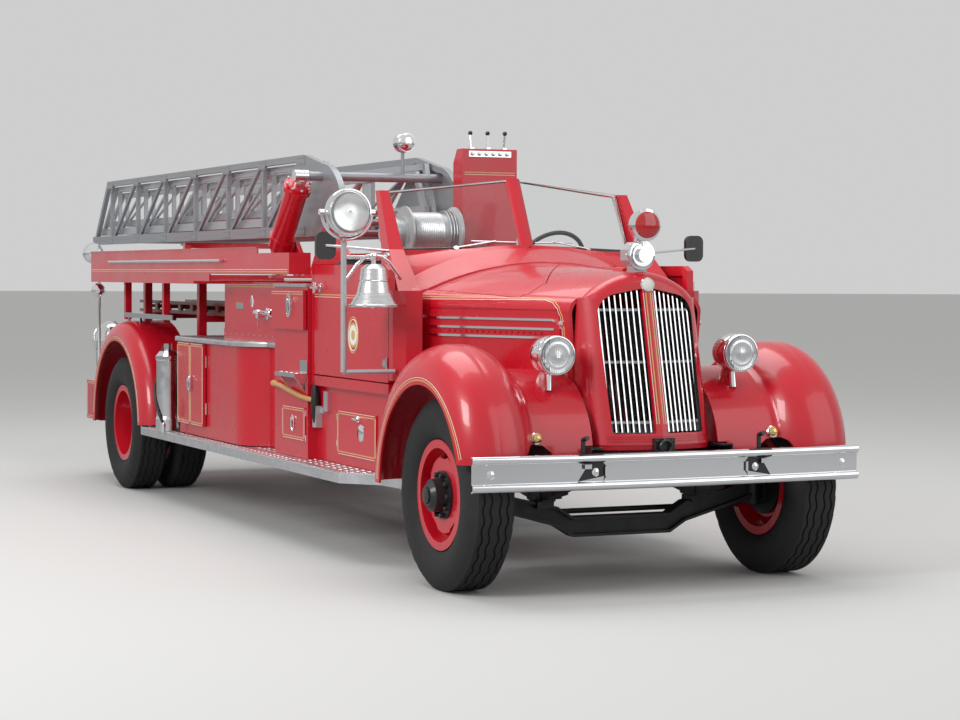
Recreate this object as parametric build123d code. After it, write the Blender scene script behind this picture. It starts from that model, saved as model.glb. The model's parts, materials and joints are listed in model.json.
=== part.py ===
"""Open-cab aerial ladder fire engine, straight frame, of a 1940s pattern.

Millimetres. X points forward, Y to the driver's left, Z up. The origin is on
the ground under the middle of the whole engine. The ladder lies in its bed and
points to the rear, as it does when the engine is parked.
"""

from build123d import *
import math
import os

os.makedirs("parts", exist_ok=True)

# Chassis stations and wheels
FRONT_AXLE_X = 4570
WHEELBASE = 6250
REAR_AXLE_X = FRONT_AXLE_X - WHEELBASE
WHEEL_R = 515
FRONT_TRACK_HALF = 985
KINGPIN_Y = 860
REAR_OUTER_Y = 1020
REAR_INNER_Y = 700
TYRE_HALF = 139
STEER_ARM = 190
RAIL_OUT = 432
RAIL_WIDE = 76
RAIL_LOW = 640
RAIL_HIGH = 880
RAIL_FRONT_X = 5070
RAIL_NOSE_Z = 785
RAIL_REAR_X = -2880

# Body
BOARD_TOP = 530
BUMPER_X = 5250
BUMPER_HALF = 1162
BODY_HALF = 1000
DOOR_FRONT_X = 3620
DOOR_REAR_X = 2370
DOOR_LOW = 1070
DOOR_TOP = 1750
DOOR_THICK = 42
GAP = 6

# Hood cross-sections: X, crease half width, crease Z, top Z, foot half width
HOOD_FOOT_Z = 1080
HOOD_SECTIONS = [
    (4760, 404, 1556, 1712, 372),
    (3644, 832, 1588, 1765, 800),
]
HOOD_REAR_X = 3644
HOOD_SHELL_FRONT_X = 4752

# Ladder, turntable and hoist
TURN_X = 1350
TURN_R = 900
DECK_TOP = 1640
HEEL_X = 1300
HEEL_Z = 2010
HOIST_FOOT = (560, 1885)
HOIST_EYE = (1010, 2365)
HOIST_Y = 600
CROSS_R = 32
LADDER_TAIL_X = -5250


def block(x0, x1, y0, y1, z0, z1):
    """A box between two corners."""
    size = (abs(x1 - x0), abs(y1 - y0), abs(z1 - z0))
    middle = ((x0 + x1) / 2, (y0 + y1) / 2, (z0 + z1) / 2)
    return Pos(*middle) * Box(*size)


def rod(start, end, radius):
    """A round bar from one point to another."""
    along = Vector(*end) - Vector(*start)
    plane = Plane(origin=start, z_dir=along)
    return extrude(plane * Circle(radius), along.length)


def side_plate(outline, y0, y1):
    """A plate with its outline in X and Z, from y0 to y1."""
    face = Plane.XZ * make_face(Polyline(*outline, close=True))
    return Pos(0, max(y0, y1), 0) * extrude(face, abs(y1 - y0))


def plan_plate(outline, z0, z1):
    """A plate with its outline in X and Y, from z0 to z1."""
    face = make_face(Polyline(*outline, close=True))
    return Pos(0, 0, z0) * extrude(face, z1 - z0)


def across_plate(outline, x0, x1):
    """A plate with its outline in Y and Z, from x0 to x1."""
    face = Plane.YZ * make_face(Polyline(*outline, close=True))
    return Pos(x0, 0, 0) * extrude(face, x1 - x0)


def turned(profile):
    """A ring about the Y axis from a profile of (radius, y) points."""
    face = make_face(Polyline(*profile, close=True))
    return revolve(face, Axis.Y, 360)


def mirrored(shape):
    """The same piece on the other side of the engine."""
    return mirror(shape, about=Plane.XZ)


def join(pieces):
    """One solid from pieces that touch."""
    pieces = list(pieces)
    return pieces[0].fuse(*pieces[1:]) if len(pieces) > 1 else pieces[0]


def save(name, *shapes):
    """One file for each node; like pieces on one body share a node."""
    solids = []
    for shape in shapes:
        solids.extend(shape.solids())
    export_step(Compound(children=solids), f"parts/{name}.step")


# Frame: two channel rails, cross members and the tow plate at the rear
TOW_EYE_X = RAIL_REAR_X - 45
TOW_EYE_R = 21
TOW_PLATE_LOW = RAIL_LOW + 158
TOW_PLATE_THICK = 25


def frame_rails():
    """Channel rails, shallower under the nose, joined by channels across."""
    low, high, nose = RAIL_LOW, RAIL_HIGH, RAIL_NOSE_Z
    outline = [(RAIL_REAR_X, low), (RAIL_FRONT_X, low), (RAIL_FRONT_X, nose), (4740, nose), (4620, high), (RAIL_REAR_X, high)]
    hollow = [
        (RAIL_REAR_X, low + 8), (RAIL_FRONT_X, low + 8), (RAIL_FRONT_X, nose - 8), (4737, nose - 8),
        (4617, high - 8), (RAIL_REAR_X, high - 8),
    ]
    rail = side_plate(outline, RAIL_OUT - RAIL_WIDE, RAIL_OUT) - side_plate(hollow, 0, RAIL_OUT - 8)
    pieces = [rail, mirrored(rail)]
    for x in (-2300, -950, 200, 1350, 2500, 3560, RAIL_REAR_X + 60):
        member = block(x - 40, x + 40, -RAIL_OUT + 8, RAIL_OUT - 8, low + 150, high - 18)
        member -= block(x - 32, x + 40, -RAIL_OUT, RAIL_OUT, low + 158, high - 26)
        pieces.append(member)
    rear_member = pieces[-1]
    pieces.append(rod((4900, 8 - RAIL_OUT, 715), (4900, RAIL_OUT - 8, 715), 45))
    x, low, high = TOW_EYE_X, TOW_PLATE_LOW, TOW_PLATE_LOW + TOW_PLATE_THICK
    tow_plate = block(x - 40, RAIL_REAR_X + 90, -70, 70, low, high) - rod((x, 0, low - 5), (x, 0, high + 5), TOW_EYE_R)
    rear_member -= tow_plate
    return [*pieces[:-2], rear_member, pieces[-1], tow_plate]


# Front axle: dropped I-beam with an eye for each kingpin
AXLE_LINE = [(0, 258, 368), (300, 258, 368), (400, 318, 430), (700, 400, 500), (KINGPIN_Y - 30, 440, 590)]


def front_axle_beam():
    """A forged beam: thin web, wide flanges, dropped in the middle."""
    lower = [(y, low) for y, low, _ in AXLE_LINE]
    upper = [(y, high) for y, _, high in AXLE_LINE]
    half = across_plate(lower + upper[::-1], -14, 14)
    flange = 16
    bottom = lower + [(y, z + flange) for y, z in lower[::-1]]
    top = upper + [(y, z - flange) for y, z in upper[::-1]]
    half += across_plate(bottom, -45, 45)
    half += across_plate(top, -45, 45)
    boss = rod((0, KINGPIN_Y, 430), (0, KINGPIN_Y, 600), 40)
    half += boss
    half += block(-60, 60, 430, 530, 425, 460)
    half -= rod((0, KINGPIN_Y, 400), (0, KINGPIN_Y, 700), 22.05)
    return Pos(FRONT_AXLE_X, 0, 0) * (half + mirrored(half))


def leaf_pack(centre_x, y, seat_z, half_length, rise, leaves, width):
    """A stack of curved leaves that shorten downwards, with an eye at each end."""
    thick = 11
    radius = (half_length**2 + rise**2) / (2 * rise)
    pieces = []
    for number in range(leaves):
        reach = half_length * (1 - 0.16 * number)
        outer = radius + thick * (number + 1)
        inner = radius + thick * number
        turn = math.degrees(math.asin(reach / radius))
        ring = extrude(Plane.XZ * (Circle(outer) - Circle(inner)), width)
        wedge_x = math.tan(math.radians(turn)) * 2 * radius
        wedge = side_plate([(0, 0), (-wedge_x, -2 * radius), (wedge_x, -2 * radius)], 0, -width)
        pieces.append(ring & wedge)
    pack = join(pieces)
    pack = Pos(centre_x, y + width / 2, seat_z + radius + thick * leaves) * pack
    for side in (-1, 1):
        eye_x = centre_x + side * half_length
        eye_z = seat_z + thick * leaves + rise
        pack += rod((eye_x, y - width / 2, eye_z), (eye_x, y + width / 2, eye_z), 26)
    return pack


def leaf_springs():
    """Four leaf packs, each with its hangers up to the rail and its clamp."""
    packs = []
    for centre_x, y, seat_z, half_length, rise, leaves in (
        (FRONT_AXLE_X, 480, 460, 470, 130, 6),
        (REAR_AXLE_X, 490, 622, 640, 90, 8),
    ):
        pack = leaf_pack(centre_x, y, seat_z, half_length, rise, leaves, 80)
        eye_z = seat_z + 11 * leaves + rise
        for side in (-1, 1):
            x = centre_x + side * half_length
            pack += block(x - 34, x + 34, RAIL_OUT + 1, y + 46, eye_z - 10, eye_z + 38)
        pack += block(centre_x - 75, centre_x + 75, y - 46, y + 46, seat_z + 2, seat_z + 11 * leaves + 14)
        packs.append(pack)
    left = Compound(children=packs)
    return [*left.solids(), *mirrored(left).solids()]


def rear_axle():
    """Banjo housing with its spindles, and the shaft tube that runs forward from it."""
    x, z = REAR_AXLE_X, WHEEL_R
    housing = rod((x, -608, z), (x, 608, z), 66)
    housing += rod((x, -970, z), (x, 970, z), 45)
    banjo = Pos(x, 0, z) * Rot(90, 0, 0) * Cylinder(205, 150)
    housing += chamfer(banjo.edges().filter_by(GeomType.CIRCLE), 35)
    housing += rod((x + 100, 0, z), (x + 360, 0, z), 90)
    for y in (-490, 490):
        housing += block(x - 75, x + 75, y - 46, y + 46, z + 40, z + 107)
    shaft = rod((x + 350, 0, z), (2300, 0, 690), 48) + rod((2240, 0, 687), (2300, 0, 690), 80)
    return [housing, shaft - housing]


# Wheels
RIM = [
    (252, -104), (297, -104), (297, -96), (264, -94), (262, 80),
    (297, 96), (297, 104), (252, 104),
]


def rim_ring():
    """The rolled rim that the tyre seats on."""
    return turned(RIM)


def front_wheel():
    """Left front disc wheel, hub and drum about its own centre, outside at +Y."""
    wheel = rim_ring()
    wheel += turned([(50, 60), (200, 60), (226, 18), (254, 18), (254, 32), (232, 32), (205, 74), (50, 74)])
    for number in range(5):
        angle = 72 * number + 18
        x, z = 212 * math.cos(math.radians(angle)), 212 * math.sin(math.radians(angle))
        hole = Rot(0, -angle, 0) * (Rot(90, 0, 0) * extrude(SlotOverall(92, 38), 400, both=True))
        wheel -= Pos(x, 0, z) * (Rot(0, 90, 0) * hole)
    hub = turned([(35.05, -43), (95, -43), (95, 40), (130, 40), (130, 88), (92, 88), (86, 150), (35.05, 150)])
    wheel += hub
    wheel += turned([(90, -43), (198, -43), (198, 40), (188, 40), (188, -33), (90, -33)])
    wheel += turned([(35.05, 146), (0.001, 146), (0.001, 172), (58, 172), (78, 150), (35.05, 150)])
    return wheel


def rear_wheels():
    """Left rear pair of rims on one drum and hub; y is measured from the inner tyre."""
    apart = REAR_OUTER_Y - REAR_INNER_Y
    pieces = [rim_ring(), Pos(0, apart, 0) * rim_ring()]
    middle = apart / 2
    for near, side in ((0, 1), (apart, -1)):
        bolt_y = middle - side * 2
        web = turned(
            [(70, bolt_y - 9 * side), (190, bolt_y - 9 * side), (254, near + 70 * side), (254, near + 55 * side),
             (200, bolt_y - 24 * side), (70, bolt_y - 24 * side)]
        )
        pieces.append(web)
    wheel = join(pieces)
    wheel += turned([(45.05, -80), (215, -80), (215, 60), (204, 60), (204, -68), (120, -68), (120, middle + 20), (45.05, middle + 20)])
    wheel += turned([(45.05, middle + 18), (88, middle + 18), (80, middle + 150), (45.05, middle + 150)])
    for number in range(5):
        angle = 72 * number + 18
        x, z = 226 * math.cos(math.radians(angle)), 226 * math.sin(math.radians(angle))
        hole = Rot(0, -angle, 0) * (Rot(90, 0, 0) * extrude(SlotOverall(80, 34), 900, both=True))
        hole = hole & block(-200, 200, 66, 900, -200, 200)
        wheel -= Pos(x, 0, z) * (Rot(0, 90, 0) * hole)
    wheel += turned([(45.05, middle + 146), (0.001, middle + 146), (0.001, middle + 166), (60, middle + 166), (80, middle + 150), (45.05, middle + 150)])
    return wheel


TYRE = [
    (265, -92), (299, -92), (330, -122), (400, -TYRE_HALF), (480, -122), (WHEEL_R, -96),
    (WHEEL_R, 96), (480, 122), (400, TYRE_HALF), (330, 122), (299, 92), (265, 76),
]


def tyre():
    """A tyre with bead, sidewall, shoulder and tread band."""
    return turned(TYRE)


def knuckle():
    """Left steering knuckle: yoke, kingpin, spindle, backing plate and track arm."""
    x, y, z = FRONT_AXLE_X, KINGPIN_Y, WHEEL_R
    piece = rod((x, y, 392), (x, y, 638), 22)
    for low in (394, 602):
        piece += rod((x, y, low), (x, y, low + 34), 46)
    piece += block(x - 34, x + 34, y + 46, y + 62, 394, 636)
    for low in (394, 602):
        piece += block(x - 34, x + 34, y, y + 60, low, low + 34)
    piece += rod((x, y + 50, z), (x, FRONT_TRACK_HALF + 120, z), 35)
    piece += rod((x, y + 60, z), (x, y + 72, z), 180)
    piece += rod((x, y, 411), (x - STEER_ARM, y, 411), 17)
    piece += rod((x - STEER_ARM, y, 394), (x - STEER_ARM, y, 428), 28)
    piece -= rod((x - STEER_ARM, y, 300), (x - STEER_ARM, y, 500), 12.05)
    return piece


def tie_rod():
    """Track rod behind the axle, with a pin into each track arm."""
    x, y, z = FRONT_AXLE_X - STEER_ARM, KINGPIN_Y, 376
    bar = rod((x, -y, z), (x, y, z), 15)
    for side in (-1, 1):
        bar += rod((x, side * y, z - 16), (x, side * y, 392), 16)
        bar += rod((x, side * y, 380), (x, side * y, 432), 12)
    return bar


# Engine, radiator and nose
def engine_block():
    """The engine as one plain block on its two pairs of feet."""
    engine = block(3650, 4630, -300, 300, 660, 1400)
    for x in (3800, 4400):
        engine += block(x, x + 80, 8 - RAIL_OUT, RAIL_OUT - 8, 780, 860)
    return engine


def radiator_core():
    """Radiator core behind the grille."""
    return block(4662, 4742, -300, 300, 900, 1520)


NOSE_RAKE = 13.2
NOSE_FOOT_Z = 790
NOSE_HALF = 374
NOSE_CORNER_X = 5018
NOSE_PROW_X = 5084
NOSE_ROUND = 190
NOSE_BROW = 80


def nose_outline(inset):
    """Plan of the nose at its foot: straight sides, round shoulders, blunt prow."""
    half = NOSE_HALF - inset
    rear = HOOD_SHELL_FRONT_X - 300
    corner_x = NOSE_CORNER_X - inset
    points = [(rear, -half), (corner_x, -half), (NOSE_PROW_X - inset, 0), (corner_x, half), (rear, half)]
    face = make_face(Polyline(*points, close=True))
    shoulders = [corner for corner in face.vertices() if abs(corner.X - corner_x) < 1]
    return fillet(shoulders, NOSE_ROUND - inset)


def hood_outline(crease_half, crease_z, top_z, foot_half, inset=0):
    """Cross-section of hood or nose: upright side, round crease, crowned top."""
    half = crease_half - inset
    foot = foot_half - inset
    top = top_z - inset
    knee = crease_z - inset * 0.6
    side = Line((foot, HOOD_FOOT_Z), (half, knee - 60))
    bend = ThreePointArc((half, knee - 60), (half - 22, knee - 8), (half - 80, knee + 18))
    crown = ThreePointArc((half - 80, knee + 18), (half * 0.42, top - 34), (0, top))
    upper = side + bend + crown
    return upper


def hood_section(x, crease_half, crease_z, top_z, foot_half, inset=0):
    """A closed hood section on its own plane."""
    upper = hood_outline(crease_half, crease_z, top_z, foot_half, inset)
    foot = foot_half - inset
    other = mirror(upper, about=Plane.YZ)
    wire = upper + other + Line((-foot, HOOD_FOOT_Z), (foot, HOOD_FOOT_Z))
    return Plane(origin=(x, 0, 0), x_dir=(0, 1, 0), z_dir=(1, 0, 0)) * make_face(wire)


def hood_solid(inset=0):
    """The full hood form between its two sections."""
    return loft([hood_section(*row, inset=inset) for row in HOOD_SECTIONS], ruled=True)


def hood_clearance():
    """The hood form, a little larger, to trim what meets it."""
    return loft([hood_section(x, half + 2, z, top, foot + 2) for x, half, z, top, foot in HOOD_SECTIONS], ruled=True)


def nose_solid(inset):
    """The nose form: its plan leaned back, cut to the hood's crown."""
    rake = math.radians(NOSE_RAKE)
    lean = Vector(-math.sin(rake), 0, math.cos(rake))
    tall = (1760 - NOSE_FOOT_Z) / math.cos(rake)
    body = extrude(Pos(0, 0, NOSE_FOOT_Z) * nose_outline(inset), tall, dir=lean)
    x, crease_half, crease_z, top_z, foot_half = HOOD_SECTIONS[0]
    upper = hood_outline(crease_half + 4, crease_z, top_z, foot_half + 4, inset)
    foot = foot_half + 4 - inset
    low = Line((foot, NOSE_FOOT_Z - 20), (foot, HOOD_FOOT_Z))
    right = low + upper
    wire = right + mirror(right, about=Plane.YZ) + Line((-foot, NOSE_FOOT_Z - 20), (foot, NOSE_FOOT_Z - 20))
    arch = Plane(origin=(HOOD_SHELL_FRONT_X, 0, 0), x_dir=(0, 1, 0), z_dir=(1, 0, 0)) * make_face(wire)
    return body & extrude(arch, 500)


GRILLE_LOW = 850
GRILLE_HIGH = 1622


def grille_opening():
    """Left grille opening seen from ahead: square at the foot, round at the top outer corner."""
    points = [(34, GRILLE_LOW), (272, GRILLE_LOW), (290, 1572), (34, GRILLE_HIGH)]
    face = make_face(Polyline(*points, close=True))
    tops = [corner for corner in face.vertices() if corner.X > 280]
    feet = [corner for corner in face.vertices() if corner.Y < GRILLE_LOW + 1]
    face = fillet(feet, 12)
    tops = [corner for corner in face.vertices() if corner.X > 280 and corner.Y > 1500]
    return fillet(tops, 120)


def radiator_shell():
    """Painted shell, rounded over its brow, with two tall grille openings and a bar between them."""
    outer = nose_solid(0)
    brow = [
        edge for edge in outer.edges()
        if edge.geom_type != GeomType.LINE and abs(edge.center().Y) < 300 and edge.center().Z > 1600
        and edge.center().X > 4815
    ]
    shell = fillet(brow, NOSE_BROW) - nose_solid(26)
    foot = extrude(Pos(0, 0, 764) * (nose_outline(6) - nose_outline(32)), 40)
    shell += foot & block(4900, 5200, -346, 346, 764, NOSE_FOOT_Z + 10)
    opening = extrude(Plane.YZ * grille_opening(), 700)
    for one in (opening, mirrored(opening)):
        shell -= Pos(4600, 0, 0) * one
    for z in (806, 818, 830):
        shell -= block(4990, 5200, -300, 300, z, z + 4) - nose_solid(4)
    return shell


def grille_bars():
    """Upright bars, eight a side, on three rails behind the openings."""
    rake = math.tan(math.radians(NOSE_RAKE))
    bars = []
    for side in (-1, 1):
        for number in range(8):
            y = side * (54 + 31 * number)
            front = 5068 - abs(y) * 0.245
            top = 1612 - 66 * (abs(y) / 280) ** 3
            foot = front - 14
            head = foot - (top - 856) * rake
            outline = [(foot, 856), (foot - 26, 856), (head - 26, top), (head, top)]
            bars.append(side_plate(outline, y - 4, y + 4))
    for z in (900, 1220, 1500):
        x = 5028 - (z - 856) * rake
        for side in (-1, 1):
            rail = plan_plate(
                [(x - 16, side * 40), (x, side * 40), (x - 66, side * 278), (x - 82, side * 278)], z, z + 14
            )
            bars.append(rail)
    left = join([bar for bar in bars if bar.center().Y > 0]) - radiator_shell()
    return [left, mirrored(left)]


LID_PLAN = [(3700, 40), (3890, 40), (4370, 360), (4370, 520), (3700, 740)]
HOOD_SEAM_Z = 1498
HOOD_SEAM_X = 4688
SEAM_WIDE = 7
SEAM_DEEP = 8


def lid_prism(grow):
    """Plan of the left hood lid, grown by the gap where it is the opening."""
    face = make_face(Polyline(*LID_PLAN, close=True))
    face = offset(face, grow, kind=Kind.INTERSECTION) if grow else face
    return Pos(0, 0, 1500) * extrude(face, 400)


def hood_parts():
    """Fixed hood with its sides and centre strip, and the left lid."""
    skin = hood_solid(0) - hood_solid(20)
    skin &= block(HOOD_REAR_X, HOOD_SHELL_FRONT_X - 1, -900, 900, 1085, 1900)
    opening = lid_prism(GAP)
    keep_low = block(3000, 5000, -900, 900, 1000, 1562)
    lid = (skin & lid_prism(0)) - keep_low
    fixed = skin - (opening - keep_low) - mirrored(opening - keep_low)
    seam = block(3720, HOOD_SEAM_X, -900, 900, HOOD_SEAM_Z, HOOD_SEAM_Z + SEAM_WIDE)
    seam += block(HOOD_SEAM_X - SEAM_WIDE, HOOD_SEAM_X, -900, 900, 1085, HOOD_SEAM_Z + SEAM_WIDE)
    return fixed - (seam - hood_solid(SEAM_DEEP)), lid


# Front fenders
FENDER_X = 4540
FENDER_REAR_Z = 530
FENDER_FRONT_Z = 715


def fender_band(thick):
    """Section at the crown: lip, round side, crown, round inner side, and the apron to the nose."""
    apron, inmost = 1188, 340
    outer = (
        Line((1190, 1106), (1190, 1150))
        + ThreePointArc((1190, 1150), (1128, 1275), (985, 1320))
        + ThreePointArc((985, 1320), (852, 1296), (764, 1218))
        + ThreePointArc((764, 1218), (742, 1196), (712, apron))
        + Line((712, apron), (inmost, apron - 14))
    )
    inner = (
        Line((1190 - thick, 1106), (1190 - thick, 1150))
        + ThreePointArc((1190 - thick, 1150), (1128 - thick * 0.7, 1275 - thick * 0.7), (985, 1320 - thick))
        + ThreePointArc((985, 1320 - thick), (859, 1286), (773, 1209))
        + ThreePointArc((773, 1209), (748, 1185), (712, apron - thick))
        + Line((712, apron - thick), (inmost, apron - 14 - thick))
    )
    ends = Line((1190, 1106), (1190 - thick, 1106)) + Line((inmost, apron - 14), (inmost, apron - 14 - thick))
    return Plane(origin=(FENDER_X, 0, 0), x_dir=(0, 1, 0), z_dir=(1, 0, 0)) * make_face(outer + inner + ends)


TYRE_RELIEF = [(620, 700), (830, 700), (815, 745), (790, 790), (760, 808), (680, 800), (630, 760)]


def front_fender():
    """Left front fender: a long arc back and a short one forward, relieved inside for the steered tyre."""
    band = fender_band(12)
    back = revolve(band, Axis((FENDER_X, 0, FENDER_REAR_Z), (0, -1, 0)), 90)
    nose = revolve(band, Axis((FENDER_X, 0, FENDER_FRONT_Z), (0, 1, 0)), 90)
    fender = back + nose
    radius = 490
    opening = Pos(FENDER_X, 1400, 1106 - radius) * Rot(90, 0, 0) * Cylinder(radius, 460, align=(Align.CENTER, Align.CENTER, Align.MIN))
    fender -= opening & block(FENDER_X, 5400, 900, 1400, 300, 1400)
    fender -= hood_clearance()
    fender -= block(3000, HOOD_SHELL_FRONT_X, 0, 600, 500, HOOD_FOOT_Z)
    fender -= block(HOOD_SHELL_FRONT_X - 5, 5400, 0, NOSE_HALF + 8, 700, 1800)
    fender -= block(4650, 5400, 0, RAIL_OUT + 6, 500, RAIL_NOSE_Z + 6)
    fender -= across_plate(TYRE_RELIEF, 4800, 5400)
    return max(fender.solids(), key=lambda solid: solid.volume)


# Bumper
def front_bumper():
    """Rolled bar with two ridges, bowed in plan, on two brackets."""
    bow = 11280
    low, high = 580, 765
    skin = (
        ThreePointArc((-12, low), (20, low + 22), (0, low + 44))
        + Line((0, low + 44), (0, high - 44))
        + ThreePointArc((0, high - 44), (20, high - 22), (-12, high))
    )
    back = (
        Line((-12, high), (-14, high - 8))
        + ThreePointArc((-14, high - 8), (12, high - 22), (-8, high - 42))
        + Line((-8, high - 42), (-8, low + 42))
        + ThreePointArc((-8, low + 42), (12, low + 22), (-14, low + 8))
        + Line((-14, low + 8), (-12, low))
    )
    turn = math.degrees(math.asin(BUMPER_HALF / bow))
    face = Rot(0, 0, -turn) * (Pos(bow - 20, 0, 0) * (Plane.XZ * make_face(skin + back)))
    bar = Pos(BUMPER_X - bow, 0, 0) * revolve(face, Axis.Z, 2 * turn)
    for side in (-1, 1):
        inner, outer = side * (RAIL_OUT - 16), side * (RAIL_OUT - 2)
        bar += block(RAIL_FRONT_X, BUMPER_X - 16, inner, outer, 650, 700)
        bar += rod((5175, side * 530, 700), (5175, side * 530, 838), 12)
        bar += rod((5175, side * 530, 838), (5225, side * 530, 850), 12)
        bar += block(5160, BUMPER_X - 12, side * 530 - 20, side * 530 + 20, 690, 714)
    return bar


HEADLIGHT = (4916, 562, 1268)


def headlight(fender):
    """Left headlight: bullet shell, rim, and the fin that carries it off the fender's apron."""
    x, y, z = HEADLIGHT
    bowl = Line((0, -226), (20, -226)) + ThreePointArc((20, -226), (82, -160), (98, -22))
    rim = Line((98, -22), (106, -18)) + Line((106, -18), (106, 4)) + Line((106, 4), (86, 12))
    lens = Line((86, 12), (60, 20)) + Line((60, 20), (0, 25)) + Line((0, 25), (0, -226))
    shell = revolve(make_face(bowl + rim + lens), Axis.Y, 360)
    shell = Pos(x, y, z) * Rot(0, 0, -90) * shell
    fin = loft(
        [
            Plane(origin=(x - 150, y + 6, 1080)) * Ellipse(92, 36),
            Plane(origin=(x - 118, y, z - 60)) * Ellipse(50, 24),
        ],
        ruled=True,
    )
    return max((shell + fin - hood_clearance() - fender).solids(), key=lambda solid: solid.volume)


def floodlamp(x, y, z):
    """A deck lamp on its stem."""
    profile = [(0, -80), (50, -62), (82, -10), (86, 20), (60, 34), (0, 38)]
    face = make_face(Polyline(*profile, close=True))
    shell = Pos(x, y, z) * Rot(0, 0, 90) * revolve(face, Axis.Y, 360)
    return shell + rod((x, y, z - 60), (x, y, 1642), 12)


SIREN_X = 4702


def siren():
    """Eight-sided siren on the nose with a red lamp on top, both facing forward."""
    x, z, lamp_x, lamp_z = SIREN_X, 1803, SIREN_X + 140, 1965
    octagon = Plane(origin=(x, 0, z), x_dir=(0, 1, 0), z_dir=(1, 0, 0)) * (Rot(0, 0, 22.5) * RegularPolygon(76, 8))
    housing = extrude(octagon, 110)
    housing += rod((x + 105, 0, z), (x + 132, 0, z), 62)
    housing += rod((x + 132, 0, z), (x + 158, 0, z), 40)
    for number in range(12):
        slot = Rot(30 * number, 0, 0) * block(112, 126, -7, 7, 40, 80)
        housing -= Pos(x, 0, z) * slot
    housing += block(x + 20, x + 100, -40, 40, 1690, z)
    bowl = Line((0, -62), (30, -62)) + ThreePointArc((30, -62), (72, -44), (82, 0))
    rim = Line((82, 0), (88, 4)) + Line((88, 4), (88, 26)) + Line((88, 26), (72, 34))
    lens = Line((72, 34), (40, 46)) + Line((40, 46), (0, 50)) + Line((0, 50), (0, -62))
    lamp = revolve(make_face(bowl + rim + lens), Axis.Y, 360)
    housing += Pos(lamp_x, 0, lamp_z) * Rot(0, 0, -90) * lamp
    housing += rod((lamp_x - 24, 0, 1850), (lamp_x - 24, 0, lamp_z - 60), 20)
    return housing - hood_solid() - nose_solid(0)


# Cowl and windscreen
COWL_SECTIONS = [
    (HOOD_REAR_X - 2, 852, 1592, 1771, 830),
    (3380, 938, 1606, 1856, 938),
]
STEER_FOOT = (3606, 420, 1263)
STEER_HEAD = (2850, 420, 1765)


def cowl_solid(inset=0):
    """The scuttle form between the hood and the windscreen."""
    return loft([hood_section(*row, inset=inset) for row in COWL_SECTIONS], ruled=True)


def cowl():
    """Scuttle with its firewall, dash panel, cheeks before the doors, and steering column."""
    shell = cowl_solid() - cowl_solid(22)
    shell &= block(3380, HOOD_REAR_X - 2, -BODY_HALF, BODY_HALF, 1085, 1900)
    firewall = cowl_solid() & block(3600, 3616, -BODY_HALF, BODY_HALF, 1000, 1900)
    dash = cowl_solid() & block(3382, 3396, -BODY_HALF, BODY_HALF, 1560, 1900)
    cheek = plan_plate(
        [(3627, BODY_HALF), (3690, BODY_HALF), (3742, 940), (3770, 850), (3742, 846), (3627, 846)], 1085, 1600
    )
    cheek -= hood_clearance()
    column = rod(STEER_FOOT, STEER_HEAD, 24)
    return join([shell, firewall, dash, cheek, mirrored(cheek), column])


def windscreen_pane():
    """Left pane: a flat sheet leaned back and swept to one side."""
    corners = [Vector(3352, 26, 1862), Vector(3226, 757, 1838), Vector(3014, 757, 2182), Vector(3140, 26, 2262)]
    across = (corners[1] - corners[0]).normalized()
    plane = Plane(origin=corners[0], x_dir=across, z_dir=across.cross(corners[3] - corners[0]))
    flat = [plane.to_local_coords(corner) for corner in corners]
    outline = [(corner.X, corner.Y) for corner in flat]
    return extrude(plane * make_face(Polyline(*outline, close=True)), 6)


def windscreen_frame():
    """Centre post, two raked corner posts with their wide feet, and the sill."""
    post = rod((3368, 0, 1840), (3148, 0, 2272), 20)
    corner = loft(
        [
            Plane(origin=(3030, 806, 2195)) * Rectangle(64, 60),
            Plane(origin=(3240, 822, 1840)) * Rectangle(120, 92),
            Plane(origin=(3460, 850, 1560)) * Rectangle(300, 150),
        ],
        ruled=True,
    )
    sill = plan_plate([(3340, 0), (3384, 0), (3270, 800), (3220, 800)], 1770, 1838)
    half = join([post, corner, sill]) - cowl_solid()
    half = max(half.solids(), key=lambda solid: solid.volume)
    return half + mirrored(half)


# Cab
def cab_body():
    """Open cab tub: floor, toe board, rear wall and quarter panels."""
    floor = block(2330, 3290, -BODY_HALF + 50, BODY_HALF - 50, 1000, 1040)
    rear = block(2330, 2364, -BODY_HALF, BODY_HALF, 1000, 1755)
    quarter = side_plate([(2330, 1000), (2364, 1000), (2364, 1755), (2330, 1755)], BODY_HALF - 40, BODY_HALF)
    riser = block(2366, 2900, -880, 880, 1040, 1330)
    riser -= block(2390, 2870, -850, 850, 1040, 1300)
    sill = block(2364, 3626, 850, BODY_HALF, 1000, 1062)
    return floor + rear + quarter + mirrored(quarter) + riser + sill + mirrored(sill)


def cab_door():
    """Left door panel, square cut with a rolled top rail and a handle."""
    front, rear = DOOR_FRONT_X, DOOR_REAR_X
    outline = [(front, DOOR_LOW), (front, DOOR_TOP - 30), (front - 60, DOOR_TOP), (rear, DOOR_TOP), (rear, DOOR_LOW)]
    panel = side_plate(outline, BODY_HALF - DOOR_THICK, BODY_HALF)
    panel -= block(rear + 60, front - 60, BODY_HALF - DOOR_THICK - 1, BODY_HALF - 14, DOOR_LOW + 60, DOOR_TOP - 60)
    handle = rod((rear + 110, BODY_HALF - 4, 1610), (rear + 110, BODY_HALF + 40, 1610), 10)
    handle += rod((rear + 60, BODY_HALF + 38, 1610), (rear + 190, BODY_HALF + 38, 1610), 11)
    return panel + handle


def bench_seat():
    """Seat cushion and backrest across the cab."""
    cushion = fillet(block(2376, 2900, -860, 860, 1331, 1450).edges(), 30)
    back = fillet(block(2366, 2480, -860, 860, 1452, 1800).edges(), 30)
    return [cushion, back]


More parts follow.
